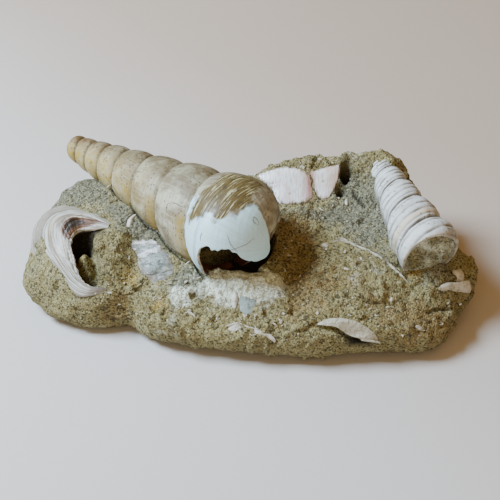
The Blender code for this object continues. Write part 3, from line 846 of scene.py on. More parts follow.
def grained(tree, place, per_metre, dark, pale):
    """Sand grains in a material, with shares of dark and pale ones."""
    inputs = {"Vector": place, "Grains per metre": per_metre, "Dark share": dark, "Pale share": pale}
    return used_group(tree, grain_group(), inputs)


def mottled(tree, place, per_metre, low, high, detail=4.0):
    """A mask of soft blotches in a material."""
    inputs = {"Vector": place, "Blotches per metre": per_metre, "Low": low, "High": high, "Detail": detail}
    return used_group(tree, mottle_group(), inputs).outputs["Mask"]


def specked(tree, place, per_metre, share, size):
    """A mask of scattered pits in a material."""
    inputs = {"Vector": place, "Specks per metre": per_metre, "Share": share, "Size": size}
    return used_group(tree, speck_group(), inputs).outputs["Mask"]


def lined(tree, across, along, lines, length, low, high):
    """Fine lines in a material, as a mask and a height."""
    inputs = {"Across": across, "Along": along, "Lines": lines, "Length": length, "Low": low, "High": high}
    return used_group(tree, line_group(), inputs)


def new_finish(name, roughness):
    """A material with its Principled shader, and the Object coordinates that its patterns read."""
    made = bpy.data.materials.new(name)
    made.use_nodes = True
    tree = made.node_tree
    shader = tree.nodes["Principled BSDF"]
    shader.inputs["Roughness"].default_value = roughness
    return made, tree, shader, node(tree, "TexCoord").outputs["Object"]


def bumped(tree, shader, height, depth):
    """Gives a shader relief from a height, with its full depth in metres."""
    relief_node = node(tree, "Bump", {"Height": height, "Distance": depth, "Strength": 1.0})
    tree.links.new(relief_node.outputs[0], shader.inputs["Normal"])


def stone_finish(name, settings):
    """Shelly sandstone: grains of two sizes over tan stone, with grey, brown, cream and ochre zones, and dark
    zones of painted shade.
    """
    made, tree, shader, place = new_finish(name, roughness=0.92)
    shader.inputs["Specular IOR Level"].default_value = 0.25
    coarse = grained(tree, place, per_metre=1500.0, dark=0.17, pale=0.15)
    fine = grained(tree, place, per_metre=3000.0, dark=0.14, pale=0.14)
    blotch = mottled(tree, place, per_metre=90.0, low=0.35, high=0.7)
    patch = mottled(tree, place, per_metre=260.0, low=0.38, high=0.68)
    colour = blended(tree, blotch, settings.sand, settings.sand_deep)
    colour = blended(tree, times(tree, patch, 0.45), colour, settings.sand_pale)
    broken = noisy(tree, place, per_metre=210.0, detail=4.0)
    wander = times(tree, minus(tree, broken, 0.5), 1.3)
    zones = (
        ("grey", settings.grey, 0.8),
        ("brown", settings.brown, 0.8),
        ("cream", settings.cream, 0.95),
        ("ochre", settings.ochre, 0.8),
    )
    for label, tint, strength in zones:
        reach = ramped(tree, plus(tree, mark(tree, label), wander), 0.25, 0.75)
        colour = blended(tree, times(tree, reach, strength), colour, tint)
    shade = times(tree, plus(tree, coarse.outputs["Shade"], fine.outputs["Shade"]), 0.5)
    value = plus(tree, times(tree, shade, 0.9), 0.55)
    dimmed = node(tree, "HueSaturation", {"Color": colour, "Value": value})
    colour = dimmed.outputs[0]
    colour = blended(tree, times(tree, coarse.outputs["Pale"], 0.45), colour, settings.pale_grain)
    colour = blended(tree, times(tree, fine.outputs["Pale"], 0.4), colour, settings.pale_grain)
    # Fewer dark grains in cream zones; on the plateau under the shell's mouth this is part of its painted
    # light.
    peppered = minus(tree, 0.75, times(tree, mark(tree, "cream"), 0.45, True))
    for grains in (coarse, fine):
        colour = blended(tree, times(tree, grains.outputs["Dark"], peppered), colour, settings.dark_grain)
    # Painted shade: the dark mark turns the stone near black in holes, cracks, the crease along the smooth
    # shell and under its broken whorl.
    painted_shade = times(tree, mark(tree, "dark"), 0.93, True)
    colour = blended(tree, painted_shade, colour, PAINTED_HOLLOW_SHADE)
    tree.links.new(colour, shader.inputs["Base Color"])
    height = plus(
        tree, times(tree, coarse.outputs["Height"], 0.7), times(tree, fine.outputs["Height"], 0.3)
    )
    bumped(tree, shader, height, settings.grain_relief)
    return made


def turret_finish(settings):
    """Weathered smooth shell: warm grey with spiral lines, ochre by the sutures, a white worn patch
    and, over it, brown with white streaks."""
    made, tree, shader, place = new_finish("weathered_turret_shell", roughness=0.5)
    run, turn, whorl = mark(tree, "run"), mark(tree, "turn"), mark(tree, "whorl")
    cloud = mottled(tree, place, per_metre=130.0, low=0.36, high=0.6)
    cloud_small = mottled(tree, place, per_metre=420.0, low=0.45, high=0.7)
    spiral = lined(tree, whorl, turn, lines=26.0, length=0.02, low=0.42, high=0.66)
    growth = lined(tree, turn, whorl, lines=0.28, length=1.6, low=0.45, high=0.75)
    specks = specked(tree, place, per_metre=1000.0, share=0.26, size=0.3)
    colour = blended(tree, cloud, settings.shell, settings.shell_dull)
    colour = blended(tree, times(tree, spiral.outputs["Mask"], 0.5), colour, settings.shell_dull)
    colour = blended(tree, times(tree, growth.outputs["Mask"], 0.22), colour, settings.shell_pale)
    # Ochre in the lower part of the whorls, before the next suture, and over the tip.
    stain = times(tree, mark(tree, "ochre"), plus(tree, times(tree, cloud_small, 0.6), 0.55), True)
    colour = blended(tree, stain, colour, settings.ochre)
    rusty = times(tree, mark(tree, "rust"), plus(tree, cloud_small, 0.35), True)
    colour = blended(tree, rusty, colour, settings.rust)
    # The worn white patch over the last whorl, and the streaky brown one on top of it.
    broken = noisy(tree, place, per_metre=330.0, detail=4.0)
    wander = times(tree, minus(tree, broken, 0.5), 5.0)
    worn = ramped(tree, plus(tree, mark(tree, "worn"), times(tree, wander, 0.12)), 0.35, 0.6)
    smooth = blended(tree, times(tree, cloud, 0.16), settings.worn, settings.shell_pale)
    smooth = blended(tree, times(tree, growth.outputs["Mask"], 0.2), smooth, settings.shell_dull)
    colour = blended(tree, times(tree, worn, 0.94), colour, smooth)
    streaks = lined(tree, run, turn, lines=2.0, length=0.04, low=0.39, high=0.48)
    inside = ramped(tree, plus(tree, mark(tree, "patch"), wander), 0.8, -0.8)
    brown = blended(tree, cloud_small, settings.streak, settings.streak_deep)
    streaked = blended(tree, streaks.outputs["Mask"], settings.streak_pale, brown)
    colour = blended(tree, inside, colour, streaked)
    # Soil and painted shade: darker brown towards the sides that face right, away from the key light.
    soil_and_shade_share = times(tree, mark(tree, "soil_and_shade"), plus(tree, times(tree, cloud_small, 0.5), 0.5), True)
    colour = blended(tree, soil_and_shade_share, colour, settings.soil_and_shade)
    # Dirt along the sutures and in the pits.
    near = times(tree, ramped(tree, mark(tree, "suture"), 1.8, 0.0), cloud_small)
    colour = blended(tree, times(tree, near, 0.8), colour, settings.soil_and_shade)
    groove = ramped(tree, mark(tree, "suture"), 0.5, 0.0)
    colour = blended(tree, times(tree, groove, 0.85), colour, settings.dirt)
    away = minus(tree, 1.0, worn)
    pits = times(tree, specks, plus(tree, times(tree, away, 0.75), 0.05))
    colour = blended(tree, pits, colour, settings.dirt)
    tree.links.new(colour, shader.inputs["Base Color"])
    gloss = minus(tree, 0.62, times(tree, worn, 0.2))
    tree.links.new(gloss, shader.inputs["Roughness"])
    height = plus(
        tree, times(tree, spiral.outputs["Height"], 0.5), times(tree, growth.outputs["Height"], 0.5)
    )
    height = minus(tree, height, pits)
    height = minus(tree, height, times(tree, inside, times(tree, streaks.outputs["Mask"], 0.5)))
    bumped(tree, shader, height, depth=0.00022)
    return made


def lining_finish(name, pale, deep):
    """The inside of a broken whorl: a blotched lining between a pale and a deep colour."""
    made, tree, shader, place = new_finish(name, roughness=0.6)
    cloud = mottled(tree, place, per_metre=220.0, low=0.35, high=0.7)
    grit = noisy(tree, place, per_metre=1500.0, detail=3.0)
    tree.links.new(blended(tree, cloud, pale, deep), shader.inputs["Base Color"])
    bumped(tree, shader, grit, depth=0.0003)
    return made


def ribbed_finish(settings):
    """White ribs with dirt in the grooves, cross lines, and one cream band on the last whorl."""
    made, tree, shader, place = new_finish("ribbed_white_shell", roughness=0.55)
    cloud = mottled(tree, place, per_metre=300.0, low=0.4, high=0.75)
    specks = specked(tree, place, per_metre=1000.0, share=0.13, size=0.33)
    cross = lined(tree, mark(tree, "turn"), mark(tree, "whorl"), lines=0.5, length=3.0, low=0.45, high=0.7)
    colour = blended(tree, times(tree, cloud, 0.8), settings.rib, settings.rib_dull)
    colour = blended(tree, times(tree, cross.outputs["Mask"], 0.2), colour, settings.rib_dull)
    colour = blended(tree, times(tree, mark(tree, "cream"), 0.8), colour, settings.rib_cream)
    colour = blended(tree, times(tree, mark(tree, "groove"), 0.85), colour, settings.groove)
    # Soil and painted shade: the groove colour darkens the right-hand side, away from the key light, and the
    # low left side where the stone meets the shell.
    soil_and_shade_share = times(tree, mark(tree, "soil_and_shade"), plus(tree, times(tree, cloud, 0.7), 0.35), True)
    colour = blended(tree, soil_and_shade_share, colour, settings.groove)
    colour = blended(tree, times(tree, specks, 0.7), colour, settings.groove)
    tree.links.new(colour, shader.inputs["Base Color"])
    height = minus(tree, times(tree, cross.outputs["Height"], 0.6), specks)
    bumped(tree, shader, height, depth=0.0002)
    return made


def snail_finish(settings):
    """Banded snail shell: white and grey lines along the whorl, with one rust-brown spot."""
    made, tree, shader, place = new_finish("banded_snail_shell", roughness=0.42)
    around, along = mark(tree, "around"), mark(tree, "along")
    cloud = mottled(tree, place, per_metre=240.0, low=0.38, high=0.7)
    lines = lined(tree, around, along, lines=18.0, length=4.0, low=0.45, high=0.58)
    wide = lined(tree, around, along, lines=5.5, length=3.0, low=0.42, high=0.62)
    colour = blended(tree, cloud, settings.snail, settings.snail_grey)
    colour = blended(tree, times(tree, wide.outputs["Mask"], 0.8), colour, settings.snail_warm)
    colour = blended(tree, times(tree, lines.outputs["Mask"], 0.9), colour, settings.snail_line)
    broken = times(tree, minus(tree, lines.outputs["Height"], 0.5), 1.2)
    spot = ramped(tree, plus(tree, mark(tree, "spot"), broken), 0.1, 0.45)
    core = ramped(tree, plus(tree, mark(tree, "spot"), broken), 0.75, 1.15)
    colour = blended(tree, spot, colour, settings.snail_spot)
    colour = blended(tree, core, colour, settings.snail_spot_core)
    colour = blended(tree, times(tree, mark(tree, "old"), 0.75), colour, settings.snail_old)
    # Painted shade: the inner mark darkens the wall where it turns under the rim into the hole.
    colour = blended(tree, mark(tree, "inner"), colour, SNAIL_INSIDE_SHADE)
    tree.links.new(colour, shader.inputs["Base Color"])
    bumped(tree, shader, lines.outputs["Height"], depth=0.0004)
    return made


def pink_finish(settings):
    """Pearly pink fragment: white with rosy and apricot clouds, fine upright lines, a soft shine."""
    made, tree, shader, place = new_finish("pearly_pink_shell", roughness=0.3)
    shader.inputs["Coat Weight"].default_value = 0.25
    shader.inputs["Coat Roughness"].default_value = 0.25
    spread = node(tree, "Mapping", {"Vector": place, "Scale": (1.0, 0.25, 0.25)})
    lines = noisy(tree, spread.outputs[0], per_metre=1500.0, detail=3.0)
    rosy = mottled(tree, spread.outputs[0], per_metre=160.0, low=0.42, high=0.72, detail=2.0)
    warm = mottled(tree, place, per_metre=110.0, low=0.5, high=0.72, detail=2.0)
    specks = specked(tree, place, per_metre=500.0, share=0.06, size=0.3)
    colour = blended(tree, times(tree, rosy, 0.65), settings.pearl, settings.rose)
    colour = blended(tree, times(tree, warm, 0.65), colour, settings.apricot)
    colour = blended(tree, times(tree, ramped(tree, lines, 0.46, 0.62), 0.6), colour, settings.rose)
    # Partly rose colour, partly painted shade where the large piece curves down into the crack.
    colour = blended(tree, times(tree, mark(tree, "rosy"), 0.8), colour, settings.rose_deep)
    crust = times(tree, mark(tree, "edge"), plus(tree, ramped(tree, lines, 0.4, 0.6), 0.25), True)
    colour = blended(tree, times(tree, crust, 0.9), colour, settings.edge)
    colour = blended(tree, times(tree, specks, 0.6), colour, settings.edge)
    tree.links.new(colour, shader.inputs["Base Color"])
    bumped(tree, shader, lines, depth=0.0002)
    return made


def flaky_finish(settings):
    """Flaky blue-grey oyster shell: pale broken flakes over dull lamination lines."""
    made, tree, shader, place = new_finish("flaky_grey_shell", roughness=0.45)
    spread = node(tree, "Mapping", {"Vector": place, "Scale": (0.35, 1.0, 1.3)})
    inputs = {"Vector": spread.outputs[0], "Scale": 900.0, "Detail": 4.0, "Distortion": 0.6}
    lines = node(tree, "TexNoise", inputs).outputs["Fac"]
    flakes = mottled(tree, spread.outputs[0], per_metre=380.0, low=0.46, high=0.56)
    pale = times(tree, flakes, mark(tree, "upper"))
    colour = blended(tree, ramped(tree, lines, 0.42, 0.62), settings.flake_grey, settings.flake_blue)
    colour = blended(tree, times(tree, ramped(tree, lines, 0.6, 0.68), 0.5), colour, settings.flake_pale)
    colour = blended(tree, pale, colour, settings.flake_pale)
    worn_edge = times(tree, mark(tree, "edge"), plus(tree, ramped(tree, lines, 0.42, 0.6), 0.3), True)
    colour = blended(tree, worn_edge, colour, settings.flake_dirt)
    tree.links.new(colour, shader.inputs["Base Color"])
    bumped(tree, shader, plus(tree, lines, flakes), depth=0.0003)
    return made


def chalky_finish(name, pale, dull, roughness=0.6):
    """Chalky white shell: two tones in soft clouds, with dirty edges and specks."""
    made, tree, shader, place = new_finish(name, roughness)
    cloud = mottled(tree, place, per_metre=500.0, low=0.4, high=0.72)
    specks = specked(tree, place, per_metre=1500.0, share=0.15, size=0.35)
    colour = blended(tree, cloud, pale, dull)
    colour = blended(tree, times(tree, mark(tree, "edge"), 0.45), colour, dull)
    colour = blended(tree, times(tree, specks, 0.6), colour, CHALK_DIRT)
    tree.links.new(colour, shader.inputs["Base Color"])
    bumped(tree, shader, cloud, depth=0.0003)
    return made


# Sizes and colours that a user would change


def tone(name, about, value):
    """A colour property."""
    return bpy.props.FloatVectorProperty(
        name=name, description=about, default=value, min=0, max=1, subtype="COLOR"
    )


def length(name, about, value):
    """A length property in metres."""
    return bpy.props.FloatProperty(
        name=name, description=about, default=value, min=0, precision=5, subtype="DISTANCE", unit="LENGTH"
    )


class BlockStoneSettings(bpy.types.PropertyGroup):
    """Sizes and colours of the sandstone."""

    roughness: length("Roughness", "How far the broken surface rises and falls", 0.0011)
    fine_roughness: length("Fine roughness", "Height of the small lumps and pits", 0.00046)
    grain_relief: length("Grain relief", "Height of single sand grains", 0.00045)
    flakes: bpy.props.IntProperty(
        name="Flakes", description="Small bits of broken shell in the stone", default=420, min=0
    )
    sand: tone("Sand", "Main colour of the stone", (0.30, 0.266, 0.114))
    sand_deep: tone("Deep sand", "Darker blotches", (0.205, 0.168, 0.065))
    sand_pale: tone("Pale sand", "Paler patches", (0.35, 0.325, 0.18))
    grey: tone("Grey zones", "Stone that weathered grey", (0.150, 0.155, 0.118))
    brown: tone("Brown zones", "Stone stained brown", (0.25, 0.178, 0.066))
    cream: tone("Cream zones", "Chalky pale stone", (0.78, 0.86, 0.70))
    ochre: tone("Ochre stains", "Small yellow stains", (0.36, 0.25, 0.06))
    pale_grain: tone("Pale grains", "Cream and glassy grains", (0.42, 0.385, 0.22))
    dark_grain: tone("Dark grains", "Dark olive grains", (0.040, 0.036, 0.018))


class BlockTurretSettings(bpy.types.PropertyGroup):
    """Sizes and colours of the smooth turret shell."""

    wall: length("Wall", "Thickness of the shell", 0.0011)
    suture: length("Suture depth", "Depth of the line between whorls", 0.0003)
    shell: tone("Shell", "Main colour", (0.46, 0.45, 0.31))
    shell_dull: tone("Dull shell", "Darker clouds", (0.20, 0.165, 0.095))
    shell_pale: tone("Pale shell", "Pale growth lines", (0.70, 0.68, 0.60))
    ochre: tone("Ochre", "Stain before the sutures", (0.36, 0.25, 0.035))
    rust: tone("Rust", "Stain over the tip", (0.20, 0.075, 0.015))
    worn: tone("Worn white", "Smooth white patch", (0.58, 0.90, 1.0))
    # Soil and painted shade: the brown on the sides that face right is partly shade from the key light.
    soil_and_shade: tone("Soil", "Brown film on the sides that face right", (0.080, 0.064, 0.018))
    streak: tone("Streak brown", "Brown of the streaky patch", (0.115, 0.080, 0.018))
    streak_deep: tone("Deep streak brown", "Darker brown of the patch", (0.070, 0.046, 0.012))
    streak_pale: tone("Pale streaks", "Streaks in the brown patch", (0.46, 0.43, 0.24))
    dirt: tone("Dirt", "Dirt in sutures and pits", (0.09, 0.07, 0.045))
    broken: tone("Broken edge", "Edge of the broken wall", (0.62, 0.55, 0.40))
    # Lining colours: dark red-brown inside the last whorl, partly stain and partly painted shade.
    lining: tone("Lining", "Inside of the last whorl", (0.16, 0.05, 0.018))
    lining_deep: tone("Deep lining", "Darker inside", (0.06, 0.018, 0.008))


class BlockShellSettings(bpy.types.PropertyGroup):
    """Sizes and colours of the ribbed shell, the snail and the fragments."""

    rib_depth: length("Rib depth", "Depth of the grooves between ribs", 0.00042)
    rib: tone("Rib", "White of the ribs", (0.68, 0.74, 0.74))
    rib_dull: tone("Dull rib", "Greyer clouds on the ribs", (0.42, 0.41, 0.35))
    rib_cream: tone("Cream band", "Cream band on the last whorl", (0.66, 0.55, 0.34))
    groove: tone("Groove", "Dirt between the ribs", (0.16, 0.14, 0.11))
    snail: tone("Snail", "Pale colour of the moon snail", (0.58, 0.61, 0.55))
    snail_grey: tone("Snail grey", "Grey clouds", (0.46, 0.47, 0.46))
    snail_warm: tone("Snail warm", "Warm bands", (0.44, 0.36, 0.24))
    snail_line: tone("Snail lines", "Fine dark growth lines", (0.21, 0.18, 0.13))
    snail_spot: tone("Snail spot", "Rust spot near the hole", (0.100, 0.038, 0.009))
    snail_spot_core: tone("Spot core", "Dark middle of the spot", (0.030, 0.022, 0.015))
    snail_old: tone("Old whorl", "Worn earlier whorl", (0.33, 0.28, 0.20))
    pearl: tone("Pearl", "Main colour of the pink shell", (0.86, 0.92, 0.90))
    rose: tone("Rose", "Pink clouds", (0.70, 0.55, 0.55))
    rose_deep: tone("Deep rose", "Pink shade by the crack", (0.44, 0.17, 0.12))
    apricot: tone("Apricot", "Warm clouds", (0.62, 0.40, 0.22))
    edge: tone("Fragment edge", "Dirt at the edges", (0.30, 0.24, 0.17))
    flake_grey: tone("Flake grey", "Grey layers of the oyster", (0.19, 0.215, 0.195))
    flake_blue: tone("Flake blue", "Blue-grey layers", (0.27, 0.335, 0.30))
    flake_pale: tone("Flake white", "Bare white flakes", (0.76, 0.80, 0.82))
    flake_dirt: tone("Flake dirt", "Dirt at the oyster's edge", (0.24, 0.20, 0.14))
    chalk: tone("Chalk", "White shell bits", (0.66, 0.65, 0.57))
    valve: tone("Clam valve", "Pale colour of the clam valve", (0.50, 0.48, 0.37))
    chalk_dull: tone("Dull chalk", "Dull side of white bits", (0.40, 0.36, 0.25))


class BlockStageSettings(bpy.types.PropertyGroup):
    """Floor, light and camera."""

    floor: tone("Floor", "Colour of the pale floor", (0.62, 0.60, 0.565))
    # Warm floor: painted shade, darker and warmer towards the right and back.
    floor_warm_shade: tone("Warm floor", "Colour of the floor far to the right", (0.50, 0.41, 0.32))
    key_power: bpy.props.FloatProperty(
        name="Key light",
        description="Power of the soft light from upper left",
        default=9.6,
        min=0,
        unit="POWER",
    )
    fill_power: bpy.props.FloatProperty(
        name="Fill light",
        description="Power of the weak light from the front",
        default=1.1,
        min=0,
        unit="POWER",
    )
    sky: bpy.props.FloatProperty(
        name="Sky", description="Strength of the even light from all round", default=0.42, min=0
    )
    lens: bpy.props.FloatProperty(
        name="Lens", description="Focal length in millimetres", default=106.36, min=1, unit="CAMERA"
    )


# Pieces


class OBJECT_OT_block_stone(bpy.types.Operator):
    """The sandstone lump: a polar surface with noise, zones of colour and seats for the shells."""

    bl_idname = "fossil_block.stone"
    bl_label = "Sandstone lump"
    bl_options = {"REGISTER", "UNDO"}

    steps_round = 560
    steps_top = 140
    steps_under = 24
    samples_across = 170
    samples_wall = 130
    smoothed_angles = 9

    def plan_rows(self):
        """Shares of the rim's distance for each ring and angle, evenly spaced along the profile.

        The profile is sampled finely in share and in height, its length is smoothed over the nearby
        angles and summed, and even steps of that length are read back.
        """
        angle = np.arange(self.steps_round) * 2 * math.pi / self.steps_round
        reach, _, square = (column[:, None] for column in rim_at(angle))
        level = np.linspace(0, 1, self.samples_wall)[None]
        walls = (1 - level**square) ** (1 / square)
        across = np.repeat(np.linspace(0, 1, self.samples_across)[None], len(angle), 0)
        shares = np.sort(np.hstack([across, walls]), axis=1)
        x = np.cos(angle)[:, None] * reach * shares + STONE_MIDDLE[0]
        y = np.sin(angle)[:, None] * reach * shares + STONE_MIDDLE[1]
        legs = np.hypot(np.diff(shares * reach, axis=1), np.diff(surface(x, y), axis=1))
        nearby = range(-self.smoothed_angles, self.smoothed_angles + 1)
        legs = sum(np.roll(legs, k, axis=0) for k in nearby)
        run = np.hstack([np.zeros((len(angle), 1)), np.cumsum(legs, axis=1)])
        run /= run[:, -1:]
        wanted = np.linspace(0, 1, self.steps_top + 1)[None, 1:]
        row = np.arange(len(angle))[:, None] * 2.0
        even = np.interp((wanted + row).ravel(), (run + row).ravel(), shares.ravel())
        return angle, even.reshape(len(angle), -1).T

    def execute(self, context):
        settings = context.scene.block_stone
        roughness, fine = settings.roughness / MM, settings.fine_roughness / MM
        angle, share = self.plan_rows()
        reach, low, _ = rim_at(angle)
        ray = np.stack([np.cos(angle), np.sin(angle)], -1)
        plan = STONE_MIDDLE + ray[None] * (reach * share)[..., None]
        top = np.dstack([plan, surface(plan[..., 0], plan[..., 1])])
        step = (np.arange(1, self.steps_under) / self.steps_under)[:, None]
        share_under = np.repeat(1 - step**1.6, self.steps_round, axis=1)
        plan = STONE_MIDDLE + ray[None] * (reach * share_under)[..., None]
        drop = (1 - share_under**UNDER_SQUARENESS) ** (1 / UNDER_SQUARENESS)
        under = np.dstack([plan, np.maximum(low * (1 - 1.12 * drop), 0.0)])
        rows = np.vstack([top, under])

        x, y = rows[..., 0], rows[..., 1]
        gap = fragment_distance(x, y)
        is_top = np.arange(len(rows))[:, None] < self.steps_top
        calm = np.where(is_top, ease(0.0, 3.0, gap), 1.0)
        rough = noise(rows, 9.0, 1) + 0.5 * noise(rows, 4.5, 2)
        side = np.vstack([ease(0.83, 0.976, share), np.clip((share_under - 0.2) / 0.5, 0, 1)])
        push = roughness * 1.3 * noise(rows, 9.0, 3) * side
        lift = np.clip(rows[..., 2] / 6.0, 0, 1)
        rows[..., 2] += roughness * rough * lift * calm
        outward = rows[..., :2] - STONE_MIDDLE
        outward = outward / np.linalg.norm(outward, axis=-1, keepdims=True)
        rows[..., :2] += outward * push[..., None]

        leant = leaning(rows)
        small = noise(leant, 2.6, 4) + 0.8 * noise(leant, 1.5, 5) + 0.5 * noise(leant, 0.9, 6)
        pits = -2.4 * ease(0.4, 0.75, noise(leant, 3.4, 7))
        lumps = 1.2 * ease(0.5, 0.85, noise(leant, 2.9, 8))
        quiet = np.where(is_top, 0.35 + 0.65 * ease(-0.5, 1.5, gap), 1.0)
        quiet = quiet * np.clip(rows[..., 2] / 2.0, 0, 1)
        rows += grid_normals(rows) * (fine * (small + pits + lumps) * quiet)[..., None]

        # Stone under a fragment sinks, and stone round it stays below its edge.
        x, y = rows[..., 0], rows[..., 1]
        ceiling = surface(x, y) + np.where(gap < 0, -1.3, 0.15 + 0.5 * np.maximum(gap, 0))
        rows[..., 2] = np.where(is_top & (gap < 4.0), np.minimum(rows[..., 2], ceiling), rows[..., 2])
        # A dark crack follows the smooth shell, and the stone drops away under its broken whorl.
        run, turn, outside = shell_distance(TURRET, rows)
        beside = ease(-10.0, 10.0, np.degrees(turn)) * ease(36.0, 46.0, run) * ease(105.0, 102.5, run)
        crack = 2.0 * np.exp(-((outside - 0.1) / 0.75) ** 2) * beside
        rows[..., 2] -= np.where(is_top, crack, 0.0)
        under_shell = ease(0.5, -1.5, outside) * ease(96.0, 101.0, run)
        below = under_shell * ease(-20.0, -15.0, rows[..., 1])
        rows[..., 2] -= np.where(is_top, np.maximum(rows[..., 2] - 17.0, 0.0) * below, 0.0)
        split = np.min([path_distance(rows[..., 0], rows[..., 1], path) for path in STONE_CRACKS], axis=0)
        rows[..., 2] -= np.where(is_top, 1.3 * np.exp(-((split / 0.5) ** 2)), 0.0)
        rows[..., 2] = np.maximum(rows[..., 2], 0.0)

        x, y = rows[..., 0], rows[..., 1]
        marks = {}
        for label, spots in TINTS.items():
            total = sum(strength * bump_at(x, y, *place, 1) for *place, strength in spots)
            # Off the top, the brown mark is 0.3 everywhere: painted shade on the underside, under the block's
            # edge.
            marks[label] = np.where(is_top, total, 0.3 if label == "brown" else 0.0)
        # Painted shade added to the dark mark: along the crease where the smooth shell meets the stone, in
        # the hollow under its broken whorl, and in the cracks.
        painted_shade_seam = 0.8 * np.exp(-(((outside - 0.1) / 0.5) ** 2)) * beside
        painted_shade_seam = painted_shade_seam + under_shell * ease(-20.5, -17.5, rows[..., 1])
        painted_shade_seam = painted_shade_seam + 0.8 * np.exp(-((split / 0.55) ** 2))
        marks["dark"] = np.clip(marks["dark"] + np.where(is_top, painted_shade_seam, 0.0), 0, 1)

        first = np.repeat([[[*STONE_MIDDLE, rows[0, :, 2].mean()]]], self.steps_round, axis=1)
        last = np.repeat([[[*STONE_MIDDLE, 0.0]]], self.steps_round, axis=1)
        rows = np.vstack([first, rows, last])
        marks = {label: np.vstack([values[:1], values, values[-1:]]) for label, values in marks.items()}
        finish = stone_finish("shelly_sandstone", settings)
        cells = grid_triangles(len(rows), self.steps_round, True)
        made = make_piece("sandstone_lump", rows, cells, [finish], marks, 180.0, True)
        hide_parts("sandstone_matrix")
        return {"FINISHED"}


class OBJECT_OT_block_flakes(bpy.types.Operator):
    """Small bits of broken shell: flat six-cornered chips lying at all angles in the stone."""

    bl_idname = "fossil_block.flakes"
    bl_label = "Shell flakes"
    bl_options = {"REGISTER", "UNDO"}

    def execute(self, context):
        settings = context.scene.block_stone
        shells = context.scene.block_shells
        rng = np.random.default_rng(11)
        count = settings.flakes
        angle = rng.uniform(0, 2 * math.pi, count * 4)
        share = np.sqrt(rng.uniform(0.0, 0.985, count * 4))
        reach = rim_at(angle)[0]
        x = STONE_MIDDLE[0] + np.cos(angle) * reach * share
        y = STONE_MIDDLE[1] + np.sin(angle) * reach * share
        z = rough_ground(x, y, settings.roughness / MM)
        spots = np.column_stack([x, y, z])
        clear = (shell_distance(TURRET, spots)[2] > 1.0) & (shell_distance(RIBBED, spots)[2] > 1.0)
        clear &= (fragment_distance(x, y) > 1.0) & (bump_at(x, y, *SNAIL_CLEARING) < 0.2)
        spots = spots[clear][:count]
        count = len(spots)
        size = 0.35 + 1.1 * rng.uniform(0, 1, count) ** 4
        slim = rng.uniform(0.25, 0.8, count)
        thick = 0.12 + 0.12 * rng.uniform(0, 1, count)
        frames = np.linalg.qr(np.eye(3) + 0.75 * rng.normal(size=(count, 3, 3)))[0]
        corner = np.arange(6) * math.pi / 3
        ragged = rng.uniform(0.7, 1.15, (count, 6))
        length_way = np.cos(corner)[None] * ragged * size[:, None]
        width_way = np.sin(corner)[None] * ragged * (size * slim)[:, None]
        flat = np.stack([length_way, width_way], -1)
        layers = []
        for level, share in ((-1.0, 0.0), (-1.0, 0.9), (0.0, 1.0), (1.0, 0.85), (1.0, 0.0)):
            part = np.dstack([flat * share, np.broadcast_to((thick * level)[:, None], flat.shape[:2])])
            layers.append(np.einsum("nij,nkj->nki", frames, part) + spots[:, None])
        points = np.stack(layers, 1)
        cells = grid_triangles(*points.shape[1:3], True)
        corners_each = points.shape[1] * points.shape[2]
        triangles = (cells[None] + (np.arange(count) * corners_each)[:, None, None]).reshape(-1, 3)
        edge = np.broadcast_to(np.array([0.0, 0.5, 1.0, 0.5, 0.0])[None, :, None], points.shape[:3])
        finish = chalky_finish("shell_hash", tuple(shells.chalk), tuple(shells.chalk_dull), 0.5)
        made = make_piece("shell_flakes", points, triangles, [finish], {"edge": edge}, 30.0, True)
        return {"FINISHED"}


